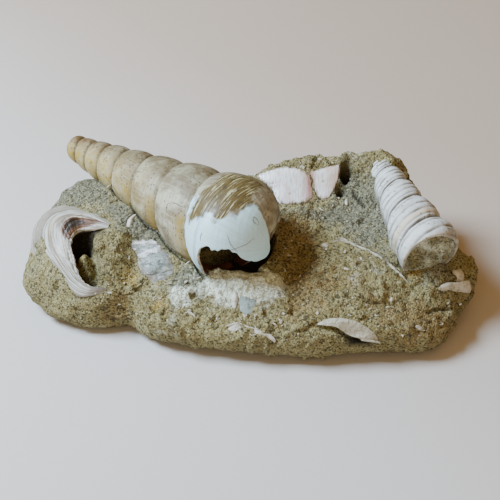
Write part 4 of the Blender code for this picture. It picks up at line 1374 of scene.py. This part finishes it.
class OBJECT_OT_block_turret(bpy.types.Operator):
    """The big smooth turret shell: a cone with swelling whorls and a broken lip, and its cracks."""

    bl_idname = "fossil_block.turret"
    bl_label = "Smooth turret shell"
    bl_options = {"REGISTER", "UNDO"}

    steps_tip = 10
    steps_whorls = 190
    steps_base = 62
    steps_round = 172
    steps_crack = 24

    def skin_radius(self, run, turn, depth):
        """The whorls' radius, less a narrow groove along each suture, with faint uneven swelling."""
        place = shell_points(TURRET, run, turn, run * TURRET["slope"])
        groove = depth * np.exp(-((suture_distance(TURRET, run, turn) / 0.45) ** 2))
        uneven = 0.16 * noise(place, 7.0, 21) + 0.05 * noise(place, 2.2, 22)
        closing = np.sqrt(np.clip((TURRET["end_run"] - run) / 6.0, 0, 1))
        closing = closing * np.clip((run - TURRET["tip_run"]) / 3.0, 0, 1)
        return whorl_radius(TURRET, run, turn) + (uneven - groove) * closing

    def execute(self, context):
        settings = context.scene.block_turret
        depth = settings.suture / MM
        tip_end = TURRET["tip_run"] + TURRET["tip_round"]
        tip = rounded_tip(TURRET, self.steps_tip)
        middle = np.geomspace(tip_end, TURRET["base_run"], self.steps_whorls)[:-1]
        closing = np.sin(np.linspace(0, math.pi / 2, self.steps_base))
        base = TURRET["base_run"] + (TURRET["end_run"] - TURRET["base_run"]) * closing
        run = np.concatenate([tip, middle, base])
        columns = np.linspace(0, 1, self.steps_round)[None]
        ends = []
        for table, seed in ((LIP_BACK, 31), (LIP_FRONT, 32)):
            at = np.stack([run, np.zeros_like(run), np.zeros_like(run)], -1)
            ragged = 3.0 * noise(at, 2.0, seed) + 2.0 * noise(at, 0.9, seed + 5)
            ragged = ragged * ease(105.0, 107.0, run) * ease(120.0, 118.0, run)
            ends.append(np.interp(run, *np.array(table).T) + ragged)
        low, high = ends
        turn_deg = low[:, None] + (high - low)[:, None] * columns
        turn = np.radians(turn_deg)
        runs = np.broadcast_to(run[:, None], turn.shape)
        radius = self.skin_radius(runs, turn, depth)
        rows = shell_points(TURRET, runs, turn, radius)

        place = whorl_place(TURRET, runs, turn)
        suture = suture_distance(TURRET, runs, turn)
        before = np.where(suture > -0.3, np.exp(-((suture / (0.045 * runs)) ** 2)), 0.0)
        ochre = before * ease(48.0, 66.0, turn_deg) * ease(135.0, 100.0, turn_deg) * ease(102.0, 98.0, runs)
        ochre = ochre + 0.5 * ease(66.0, 36.0, runs) * ease(-20.0, 60.0, turn_deg)
        ochre = ochre + 0.45 * ease(86.0, 62.0, runs) * ease(-30.0, 40.0, turn_deg)
        rust = 1.2 * ease(52.0, 26.0, runs) * ease(80.0, 10.0, np.abs(turn_deg + 20.0))
        rust = rust + 0.45 * before * ease(25.0, -5.0, turn_deg) * ease(98.0, 80.0, runs)
        last_whorl = ease(-0.02, 0.03, place)
        worn = last_whorl * (0.25 + 0.75 * ease(20.0, 52.0, turn_deg)) * ease(150.0, 130.0, turn_deg)
        worn = np.maximum(worn, 0.9 * ease(110.0, 115.0, runs) * ease(-12.0, 6.0, turn_deg))
        # Soil and painted shade: darker brown towards the sides that face right, away from the key light, on
        # the last whorl and over the earlier ones.
        soil_and_shade = 0.75 * ease(8.0, -35.0, turn_deg) * ease(115.0, 106.0, runs)
        soil_and_shade = last_whorl * (soil_and_shade + 0.5 * ease(-20.0, -50.0, turn_deg))
        soil_and_shade = soil_and_shade + 0.8 * ease(46.0, -14.0, turn_deg) * (1 - last_whorl)
        marks = {
            "run": runs,
            "turn": turn_deg,
            "whorl": place,
            "suture": np.abs(suture),
            "ochre": np.clip(ochre, 0, 1),
            "rust": np.clip(rust, 0, 1),
            "worn": worn,
            "soil_and_shade": np.clip(soil_and_shade, 0, 1),
            "patch": outline_distance(runs, turn_deg * 0.3, [(r, t * 0.3) for r, t in STREAK_PATCH]),
        }
        finishes = [
            turret_finish(settings),
            # The whorl lining is partly stain and partly painted shade inside the last whorl.
            lining_finish("whorl_lining", tuple(settings.lining), tuple(settings.lining_deep)),
            lining_finish("broken_wall", tuple(settings.broken), tuple(settings.shell_dull)),
        ]
        made = make_piece("smooth_turret", rows, grid_triangles(*runs.shape), finishes, marks, 180.0)
        wall = made.modifiers.new("shell wall", "SOLIDIFY")
        wall.thickness = settings.wall
        wall.offset = -1.0
        wall.material_offset = 1
        wall.material_offset_rim = 2
        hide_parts("smooth_turret_shell")
        self.add_cracks(depth, settings)
        return {"FINISHED"}

    def add_cracks(self, depth, settings):
        """Hairline cracks: narrow ribbons that taper to their ends, just above the shell's skin."""
        grids = []
        for corners in TURRET_CRACKS:
            line = spline(corners, np.linspace(0, len(corners) - 1, self.steps_crack))
            run, turn = line[:, 0], np.radians(line[:, 1])
            wobble = np.stack([run * 3, turn * 40, run * 0], -1)
            run = run + 0.12 * noise(wobble, 1.0, 41)
            middle = shell_points(TURRET, run, turn, self.skin_radius(run, turn, depth) + 0.03)
            ahead = np.gradient(middle, axis=0)
            outward = middle - shell_points(TURRET, run, turn, np.zeros_like(run))
            aside = np.cross(ahead, outward)
            aside /= np.linalg.norm(aside, axis=1, keepdims=True)
            taper = np.sin(np.linspace(0.05, math.pi - 0.05, self.steps_crack))
            width = 0.13 * np.sqrt(np.clip(taper, 0, 1))[:, None]
            grids.append((np.stack([middle - aside * width, middle + aside * width], 1), False))
        points, triangles = join_grids(grids)
        finish = lining_finish("crack_dirt", tuple(settings.dirt), CRACK_DARK)
        made = make_piece("turret_cracks", points, triangles, [finish])


class OBJECT_OT_block_ribbed(bpy.types.Operator):
    """The ribbed turret shell: a cone with grooves round its whorls, and the sand that fills it."""

    bl_idname = "fossil_block.ribbed"
    bl_label = "Ribbed turret shell"
    bl_options = {"REGISTER", "UNDO"}

    steps_tip = 8
    steps_whorls = 330
    steps_round = 129
    steps_filling = 34

    def execute(self, context):
        settings = context.scene.block_shells
        depth = settings.rib_depth / MM
        tip_end = RIBBED["tip_run"] + RIBBED["tip_round"]
        tip = rounded_tip(RIBBED, self.steps_tip)
        run = np.concatenate([tip, np.geomspace(tip_end, RIBBED["base_run"], self.steps_whorls)])
        turn_deg = np.linspace(-180, 180, self.steps_round)[None]
        runs, turn_deg = np.broadcast_arrays(run[:, None], turn_deg)
        turn = np.radians(turn_deg)
        place = whorl_place(RIBBED, runs, turn)
        part = place - np.floor(place)
        groove = np.zeros_like(part)
        for at, deep in RIB_GROOVES:
            off = (part - at + 0.5) % 1.0 - 0.5
            groove = np.maximum(groove, deep * np.exp(-((off / 0.034) ** 2)))
        lean = shell_points(RIBBED, runs, turn, runs * RIBBED["slope"])
        uneven = 0.18 * noise(lean, 3.0, 51) + 0.08 * noise(lean, 1.2, 52)
        groove = groove * (0.8 + 0.6 * noise(lean, 2.6, 53))
        scale = np.clip(runs / 60.0, 0.45, 1.0)
        fade = np.clip((runs - RIBBED["tip_run"]) / 2.0, 0, 1)
        radius = whorl_radius({**RIBBED, "base_run": 80.0, "end_run": 90.0}, runs, turn)
        radius = radius + (uneven - groove * depth * scale) * fade
        near_mouth = np.clip(1 - (RIBBED["base_run"] - runs) / RIBBED["narrow_reach"], 0, 1)
        radius = radius * (1 - RIBBED["narrowing"] * near_mouth**2)
        rows = shell_points(RIBBED, runs, turn, radius)
        # The wall's end turns over the rim and goes a little way back inside: run, and drop in radius.
        inner = [(run[-1] + 0.15, 0.35), (run[-1] + 0.1, 0.9), (run[-1] - 1.5, 1.3)]
        for at, drop in inner:
            more = np.full((1, rows.shape[1]), at)
            rows = np.vstack([rows, shell_points(RIBBED, more, turn[-1:], radius[-1:] - drop)])
        band = np.exp(-(((part - 0.80) / 0.09) ** 2)) * ease(56.0, 58.0, runs) * ease(67.0, 66.0, runs)
        # Soil and painted shade: darker on the right-hand side, away from the key light, with dirt; dirt
        # along the left side where the stone meets the shell.
        soil_and_shade = ease(0.0, -45.0, turn_deg) * 0.8 + 0.9 * ease(66.0, 104.0, turn_deg)
        marks = {
            "turn": turn_deg, "whorl": place, "groove": np.clip(groove, 0, 1), "cream": band, "soil_and_shade": soil_and_shade
        }
        for label, values in marks.items():
            marks[label] = np.vstack([values, np.repeat(values[-1:], len(inner), axis=0)])
        rim_tone = np.zeros_like(marks["cream"])
        rim_tone[-len(inner) - 3:] = 0.5
        marks["cream"] = np.maximum(marks["cream"], rim_tone)
        finish = ribbed_finish(settings)
        made = make_piece(
            "ribbed_turret", rows, grid_triangles(*rows.shape[:2]), [finish], marks, 60.0, True
        )
        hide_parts("ribbed_turret_shell")
        self.add_plug(context, radius[-1] - 0.8)
        return {"FINISHED"}

    def add_plug(self, context, edge):
        """Sand that fills the shell's mouth: a disc that bulges as a parabola, roughened by noise."""
        share = np.linspace(0, 1, self.steps_filling)[:, None]
        turn = np.linspace(-math.pi, math.pi, self.steps_round)[None]
        share, turn = np.broadcast_arrays(share, turn)
        run = RIBBED["base_run"] - 0.4 + 2.2 * (1 - share**3)
        rows = shell_points(RIBBED, run, turn, edge[None] * share)
        lumps = 0.35 * noise(rows, 3.0, 61) + 0.3 * noise(rows, 1.5, 62) + 0.2 * noise(rows, 0.9, 63)
        rows = rows + shell_axes(RIBBED)[0] * (lumps * (1 - share**6))[..., None]
        # Partly painted light: the cream share lifts the filling, which lies in shade in the shell's mouth.
        marks = {"grey": np.full(share.shape, 0.6), "cream": np.full(share.shape, 0.42)}
        marks["brown"] = marks["ochre"] = marks["dark"] = np.zeros(share.shape)
        finish = stone_finish("sand_filling", context.scene.block_stone)
        cells = grid_triangles(*rows.shape[:2])
        made = make_piece("ribbed_shell_filling", rows, cells, [finish], marks, 180.0, True)


class OBJECT_OT_block_snail(bpy.types.Operator):
    """The broken moon snail: the wall of its last whorl round the hollow, and its worn spire."""

    bl_idname = "fossil_block.snail"
    bl_label = "Moon snail"
    bl_options = {"REGISTER", "UNDO"}

    steps_whorl = 190
    steps_wall = 84
    steps_spire = 110
    steps_spire_round = 60

    def whorl(self):
        """The last whorl's wall, lofted between two curves, then over its rim and back underneath.

        Between foot and rim each section is a straight line plus a sine of the station's rise. Low
        ridges run along the whorl. The wall starts under the stone, turns at the rim and ends deep
        on the inside.
        """
        at = np.linspace(0, len(SNAIL_RIM) - 1, self.steps_whorl)
        foot, rim = spline(SNAIL_FOOT, at), spline(SNAIL_RIM, at)
        rise, rim = rim[:, 3], rim[:, :3]
        wobble = np.stack([at * 2.2, at * 0, at * 0], -1)
        deep = np.clip(np.minimum(at, len(SNAIL_RIM) - 1 - at) / 3.0, 0.12, 1.0)[:, None]
        sway = 0.35 * noise(wobble, 1.0, 70) + 0.2 * noise(wobble, 0.4, 69)
        rim = rim + deep * np.outer(sway, [1.0, 0.4, 0.5])
        inward = rim - foot
        inward[:, 2] = 0.0
        inward /= np.linalg.norm(inward, axis=1, keepdims=True)
        down = np.array([[0.0, 0.0, -1.0]])
        skirt = [foot - inward * 1.2 + down * 5.0 * deep, foot - inward * 0.5 + down * 1.5 * deep]
        share = np.linspace(0, 1, self.steps_wall)
        arch = np.sin(np.pi * share) ** 0.85
        line = foot[None] * (1 - share)[:, None, None] + rim[None] * share[:, None, None]
        grid = np.stack(np.broadcast_arrays(share[:, None] * 13, at[None] * 1.1, 0.0), -1)
        ridges = 0.24 * noise(grid, 1.0, 71) + 0.16 * noise(grid * [2.1, 1, 1], 1.0, 72)
        ridges = ridges * np.clip(rise / 2.5, 0.3, 1)
        line[..., 2] += arch[:, None] * rise[None] + ridges
        under = [rim + down * 0.5, rim - inward * 0.5 + down * 0.9]
        under += [rim + (down * 2.4 - inward * 1.6) * deep, rim + (down * 7.0 - inward * 3.0) * deep]
        rows = np.concatenate([skirt, line, under])
        level = np.concatenate([[-0.1, -0.05], share, [1.02, 1.04, 1.1, 1.2]])
        shape = rows.shape[:2]
        return rows, np.broadcast_to(level[:, None], shape), np.broadcast_to(at[None] / 12.0, shape)

    def spire(self):
        """What is left of the earlier whorl: a tapering tube, with circles across a curve."""
        line = spline(SPIRE_PATH, np.linspace(0, len(SPIRE_PATH) - 1, self.steps_spire))
        middle = line[:, :3]
        ahead = np.gradient(middle, axis=0)
        ahead /= np.linalg.norm(ahead, axis=1, keepdims=True)
        side = np.cross(ahead, [0.0, 0.0, 1.0])
        side /= np.linalg.norm(side, axis=1, keepdims=True)
        over = np.cross(side, ahead)
        turn = np.linspace(0, 2 * math.pi, self.steps_spire_round, endpoint=False)
        along = np.linspace(0, 1, self.steps_spire)
        closing = np.sqrt(np.clip(np.minimum(along, 1 - along) / 0.05, 0, 1))[:, None]
        across = np.cos(turn)[None, :, None] * side[:, None] + np.sin(turn)[None, :, None] * over[:, None]
        rows = middle[:, None] + (line[:, 3:4] * closing)[..., None] * across
        rows = rows + across * (0.2 * closing * noise(rows, 2.0, 76))[..., None]
        shape = rows.shape[:2]
        return rows, np.broadcast_to(np.cos(turn)[None], shape), np.broadcast_to(along[:, None], shape)

    def execute(self, context):
        finish = snail_finish(context.scene.block_shells)
        rows, level, along = self.whorl()
        spot = 1.25 * bump_at(along, level, 0.325, 0.80, 0.155, 0.15, -18.0, 2)
        spot = np.maximum(spot, 0.5 * bump_at(along, level, 0.15, 0.72, 0.12, 0.2, 0.0, 1))
        marks = {
            "along": along,
            "around": level,
            "spot": spot,
            "old": level * 0,
            # Painted shade inside the hole, under the rim.
            "inner": ease(1.03, 1.09, level),
        }
        made = make_piece("moon_snail", rows, grid_triangles(*rows.shape[:2]), [finish], marks, 70.0)
        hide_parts("moon_snail_shell")
        rows, level, along = self.spire()
        marks = {
            "along": along, "around": level, "spot": level * 0, "old": level * 0 + 0.6, "inner": level * 0
        }
        made = make_piece(
            "snail_spire", rows, grid_triangles(*rows.shape[:2], True), [finish], marks, 180.0
        )
        return {"FINISHED"}


class OBJECT_OT_block_fragments(bpy.types.Operator):
    """Shell pieces that lie in the surface, the edge of a buried valve, and the small clam valve."""

    bl_idname = "fossil_block.fragments"
    bl_label = "Shell fragments"
    bl_options = {"REGISTER", "UNDO"}

    steps_valve = 90

    def plate(
        self, outline, edge, middle, depth, seed, ragged=0.35, terraces=0.0, ground=surface, size=(96, 22)
    ):
        """A thin piece following the stone: rings from its middle out, then down round its edge.

        Its rise over the stone falls from the middle to the edge as a parabola. The outline is a
        closed curve through its corners, made ragged by noise.
        """
        around, rings = size
        ring = spline(outline, np.linspace(0, len(outline), around, endpoint=False), closed=True)
        centre = ring.mean(0)
        if np.cross(ring[0] - centre, ring[1] - centre) < 0:
            ring = ring[::-1]
        wobble = np.column_stack([ring, np.zeros(around)])
        jagged = noise(wobble, 1.6, seed) + 0.6 * noise(wobble, 0.8, seed + 1)
        out = (ring - centre) * (1 + ragged * 0.12 * jagged)[:, None]
        share = np.linspace(0, 1, rings)[:, None]
        plan = centre + out[None] * share[..., None]
        level = ground(plan[..., 0], plan[..., 1])
        points = np.dstack([plan, level])
        rise = edge + (middle - edge) * (1 - share**2) + 0.10 * noise(points, 3.0, seed + 2)
        if terraces:
            steps = noise(points * [0.5, 1.3, 1.0], 3.0, seed + 3) * 2.5 + points[..., 1] * 0.25
            rise = rise + terraces * (np.floor(steps * 2) / 2 - steps) + 0.12 * noise(points, 0.9, seed + 4)
        rows = [np.dstack([plan, level + rise])]
        for reach, drop in ((1.012, 0.12), (1.02, 0.4), (1.0, depth + 0.5)):
            flank = centre + out * reach
            rows.append(np.dstack([flank[None], (level[-1] + rise[-1] - drop)[None]]))
        rows = np.vstack(rows)
        shares = np.vstack([np.broadcast_to(share, plan.shape[:2]), np.ones((3, around))])
        return rows, shares

    def execute(self, context):
        shells = context.scene.block_shells
        pink, flaky = pink_finish(shells), flaky_finish(shells)
        chalk = chalky_finish("chalky_shell", tuple(shells.chalk), tuple(shells.chalk_dull))
        grey = chalky_finish("blue_grey_shell", tuple(shells.flake_blue), tuple(shells.flake_grey))
        finishes = {
            "pink_shell_large_fragment": (pink, "pink_shell", 0.0),
            "pink_shell_small_fragment": (pink, "pink_shell", 0.0),
            "grey_oyster_fragment": (flaky, "grey_shell", 0.5),
            "blue_grey_shard": (grey, "grey_shell", 0.0),
        }
        for number, (name, (outline, edge, middle, depth)) in enumerate(FRAGMENTS.items()):
            finish, slot, terraces = finishes.get(name, (chalk, "white_shell", 0.0))
            rows, share = self.plate(
                outline, edge, middle, depth, 80 + 7 * number, ragged=0.6, terraces=terraces
            )
            x, y = rows[..., 0], rows[..., 1]
            marks = {"edge": ease(0.5 if terraces else 0.84, 1.0, share)}
            # Partly the shell's rose, partly painted shade: deep rose where the large piece curves down into
            # the crack.
            marks["rosy"] = np.exp(-(((x - 21.5) / 1.6) ** 2)) * ease(12.0, 17.0, y)
            marks["upper"] = ease(-16.0, -10.0, y)
            label = name.replace("fragment", "plate") + "_piece"
            cells = grid_triangles(*rows.shape[:2], True)
            made = make_piece(label, rows, cells, [finish], marks, 50.0, True)
            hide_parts(name)
        roughness = context.scene.block_stone.roughness / MM
        made = self.add_blade("buried_valve_rim", BLADE_PATH, 0.2, 0.6, roughness, chalk)
        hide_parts("buried_valve_edge")
        for number, (path, width, rise) in enumerate(LINES):
            self.add_blade("thin_shell_edge_%d" % number, path, width, rise, roughness, chalk)
        self.add_chips(roughness, chalk)
        self.add_valve(context)
        return {"FINISHED"}

    def add_chips(self, roughness, finish):
        """The loose white bits, and a beige nub by the white bar, as small plates on the stone."""

        def ground(x, y):
            """Height of the rough stone under a bit."""
            return rough_ground(x, y, roughness)

        for name, outlines in (("loose_white_bits", CHIPS), ("beige_nub", [(NUB_OUTLINE, 0.3, 1.6)])):
            grids, edges = [], []
            for number, (outline, edge, middle) in enumerate(outlines):
                rows, share = self.plate(
                    outline, edge, middle, 0.8, 200 + 5 * number, ragged=1.2, ground=ground, size=(28, 7)
                )
                grids.append((rows, True))
                edges.append(ease(0.6, 1.0, share).reshape(-1))
            points, triangles = join_grids(grids)
            made = make_piece(
                name, points, triangles, [finish], {"edge": np.concatenate(edges)}, 40.0, True
            )

    def add_blade(self, name, path, half_width, height, roughness, finish):
        """A thin shell edge: a narrow rounded ridge of uneven height along its path."""
        steps = 40 * (len(path) - 1)
        path = spline(path, np.linspace(0, len(path) - 1, steps))
        ahead = np.gradient(path, axis=0)
        ahead /= np.linalg.norm(ahead, axis=1, keepdims=True)
        aside = np.column_stack([-ahead[:, 1], ahead[:, 0]])
        ground = rough_ground(*path.T, roughness)
        spots = np.column_stack([path, ground * 0])
        fade = np.sqrt(np.clip(np.minimum(np.arange(steps), steps - 1 - np.arange(steps)) / 14.0, 0, 1))
        rise = height * (1.0 + 0.6 * noise(spots, 2.2, 121)) * fade
        turn = np.linspace(0, 2 * math.pi, 14, endpoint=False)
        width = half_width * (1.0 + 0.4 * noise(spots, 1.4, 122))
        rows = np.empty((steps, len(turn), 3))
        reach = np.cos(turn)[None] * (width * fade)[:, None]
        rows[..., :2] = path[:, None] + aside[:, None] * reach[..., None]
        rows[..., 2] = ground[:, None] - 0.6 + (rise + 0.6)[:, None] * np.sin(turn)[None]
        marks = {"edge": np.broadcast_to(np.clip(-np.sin(turn), 0, 1)[None], rows.shape[:2])}
        ends = [np.repeat(rows[k:k + 1].mean(1, keepdims=True), len(turn), axis=1) for k in (0, steps - 1)]
        rows = np.vstack([ends[0], rows, ends[1]])
        marks = {"edge": np.vstack([marks["edge"][:1], marks["edge"], marks["edge"][-1:]])}
        made = make_piece(name, rows, grid_triangles(*rows.shape[:2], True), [finish], marks, 60.0)
        return made

    def add_valve(self, context):
        """The clam valve: a vault from its buried back edge to its free lip, rising as a sine."""
        shells = context.scene.block_shells
        along = np.linspace(0, len(VALVE_BACK) - 1, self.steps_valve)
        back, lip = spline(VALVE_BACK, along), spline(VALVE_LIP, along)
        share = np.linspace(0, 1, 26)[None, :, None]
        edge = back[:, None] * (1 - share) + lip[:, None] * share
        ends = np.sin(np.linspace(0, math.pi, self.steps_valve))[:, None]
        vault = 0.6 * np.sin(share[..., 0] * math.pi * 0.8) * ends
        level = surface(edge[..., 0], edge[..., 1])
        rows = np.dstack([edge[..., :2], level + edge[..., 2] + vault])
        rows[..., 2] += 0.1 * noise(rows, 1.8, 131)
        marks = {"edge": np.broadcast_to(ease(0.5, 0.0, share[..., 0]), rows.shape[:2])}
        finish = chalky_finish("valve_shell", tuple(shells.valve), tuple(shells.chalk_dull), 0.5)
        made = make_piece("clam_valve_piece", rows, grid_triangles(*rows.shape[:2]), [finish], marks, 60.0)
        wall = made.modifiers.new("valve wall", "SOLIDIFY")
        wall.thickness = 0.5 * MM
        wall.offset = -1.0
        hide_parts("clam_valve")


# The stage, in metres: where the lights and the camera stand, and how far the floor reaches.
LIGHT_AIM = (0.0, 0.0, 0.02)
KEY_PLACE = (-0.43, 0.02, 0.50)
KEY_SIZE = 0.26
KEY_COLOUR = (0.81, 1.0, 1.25)
FILL_PLACE = (-0.15, -0.7, 0.45)
FILL_SIZE = 0.5
FILL_COLOUR = (1.0, 0.92, 0.75)
SKY_COLOUR = (1.0, 0.62, 0.26, 1.0)
CAMERA_PLACE = (0.00005, -0.40037, 0.35025)
CAMERA_TILT_DEG = 50.0
FLOOR_REACH = 3.0
FLOOR_STEPS = 25


class OBJECT_OT_block_stage(bpy.types.Operator):
    """A pale floor, a soft light from upper left, a weak one from the front, and the camera."""

    bl_idname = "fossil_block.stage"
    bl_label = "Floor, light and camera"
    bl_options = {"REGISTER", "UNDO"}

    def add_light(self, name, place, aim, power, size, colour):
        """A square area light at a place, turned to face a point."""
        data = bpy.data.lights.new(name, "AREA")
        data.energy = power
        data.size = size
        data.color = colour
        made = bpy.data.objects.new(name, data)
        bpy.context.scene.collection.objects.link(made)
        made.location = place
        away = np.array(place) - np.array(aim)
        away /= np.linalg.norm(away)
        made.rotation_euler = (math.acos(away[2]), 0.0, math.atan2(away[1], away[0]) + math.pi / 2)

    def execute(self, context):
        settings = context.scene.block_stage
        side = np.linspace(-FLOOR_REACH, FLOOR_REACH, FLOOR_STEPS)
        x, y = np.meshgrid(side, side, indexing="ij")
        mesh = bpy.data.meshes.new("floor")
        grid = np.stack([x, y, np.zeros_like(x)], -1).reshape(-1, 3)
        mesh.from_pydata(grid.tolist(), [], grid_triangles(FLOOR_STEPS, FLOOR_STEPS)[:, ::-1].tolist())
        made, tree, shader, place = new_finish("pale_floor", roughness=0.8)
        # Painted shade: the floor grows darker and warmer towards the right and the back.
        parts = node(tree, "SeparateXYZ", {0: place})
        slant = plus(tree, parts.outputs[0], times(tree, parts.outputs[1], 1.2))
        cloud = noisy(tree, place, per_metre=9.0, detail=2.0)
        reach = ramped(tree, plus(tree, slant, times(tree, cloud, 0.05)), -0.06, 0.22)
        colour = blended(tree, reach, tuple(settings.floor), tuple(settings.floor_warm_shade))
        tree.links.new(colour, shader.inputs["Base Color"])
        mesh.materials.append(made)
        floor = bpy.data.objects.new("floor", mesh)
        bpy.context.scene.collection.objects.link(floor)

        world = bpy.data.worlds.new("even light")
        world.use_nodes = True
        sky = world.node_tree.nodes["Background"].inputs
        sky["Color"].default_value = SKY_COLOUR
        sky["Strength"].default_value = settings.sky
        context.scene.world = world
        self.add_light("key", KEY_PLACE, LIGHT_AIM, settings.key_power, KEY_SIZE, KEY_COLOUR)
        self.add_light("fill", FILL_PLACE, LIGHT_AIM, settings.fill_power, FILL_SIZE, FILL_COLOUR)

        data = bpy.data.cameras.new("camera")
        data.sensor_width = 36.0
        data.lens = settings.lens
        data.clip_start = 0.01
        camera = bpy.data.objects.new("camera", data)
        context.scene.collection.objects.link(camera)
        camera.location = CAMERA_PLACE
        camera.rotation_euler = (math.radians(CAMERA_TILT_DEG), 0.0, 0.0)
        context.scene.camera = camera
        return {"FINISHED"}


class VIEW3D_PT_fossil_block(bpy.types.Panel):
    """Lists the pieces of the block."""

    bl_label = "Fossil block"
    bl_idname = "VIEW3D_PT_fossil_block"
    bl_space_type = "VIEW_3D"
    bl_region_type = "UI"
    bl_category = "Fossil block"

    def draw(self, context):
        for piece in PIECES:
            self.layout.operator(piece.bl_idname)
        for group in SETTINGS:
            box = self.layout.box()
            settings = getattr(context.scene, group)
            for item in SETTINGS[group].__annotations__:
                box.prop(settings, item)


SETTINGS = {
    "block_stone": BlockStoneSettings,
    "block_turret": BlockTurretSettings,
    "block_shells": BlockShellSettings,
    "block_stage": BlockStageSettings,
}
PIECES = (
    OBJECT_OT_block_stage,
    OBJECT_OT_block_stone,
    OBJECT_OT_block_flakes,
    OBJECT_OT_block_turret,
    OBJECT_OT_block_ribbed,
    OBJECT_OT_block_snail,
    OBJECT_OT_block_fragments,
)


def register():
    """Registers the classes and gives the scene its settings."""
    for each in (*SETTINGS.values(), *PIECES, VIEW3D_PT_fossil_block):
        bpy.utils.register_class(each)
    for label, group in SETTINGS.items():
        setattr(bpy.types.Scene, label, bpy.props.PointerProperty(type=group))


def unregister():
    """Takes the settings and the classes away again."""
    for label in SETTINGS:
        delattr(bpy.types.Scene, label)
    for each in reversed((*SETTINGS.values(), *PIECES, VIEW3D_PT_fossil_block)):
        bpy.utils.unregister_class(each)


def main():
    """Registers the add-on and builds every piece."""
    register()
    for step in ("stage", "stone", "flakes", "turret", "ribbed", "snail", "fragments"):
        getattr(bpy.ops.fossil_block, step)()


if __name__ == "__main__":
    main()
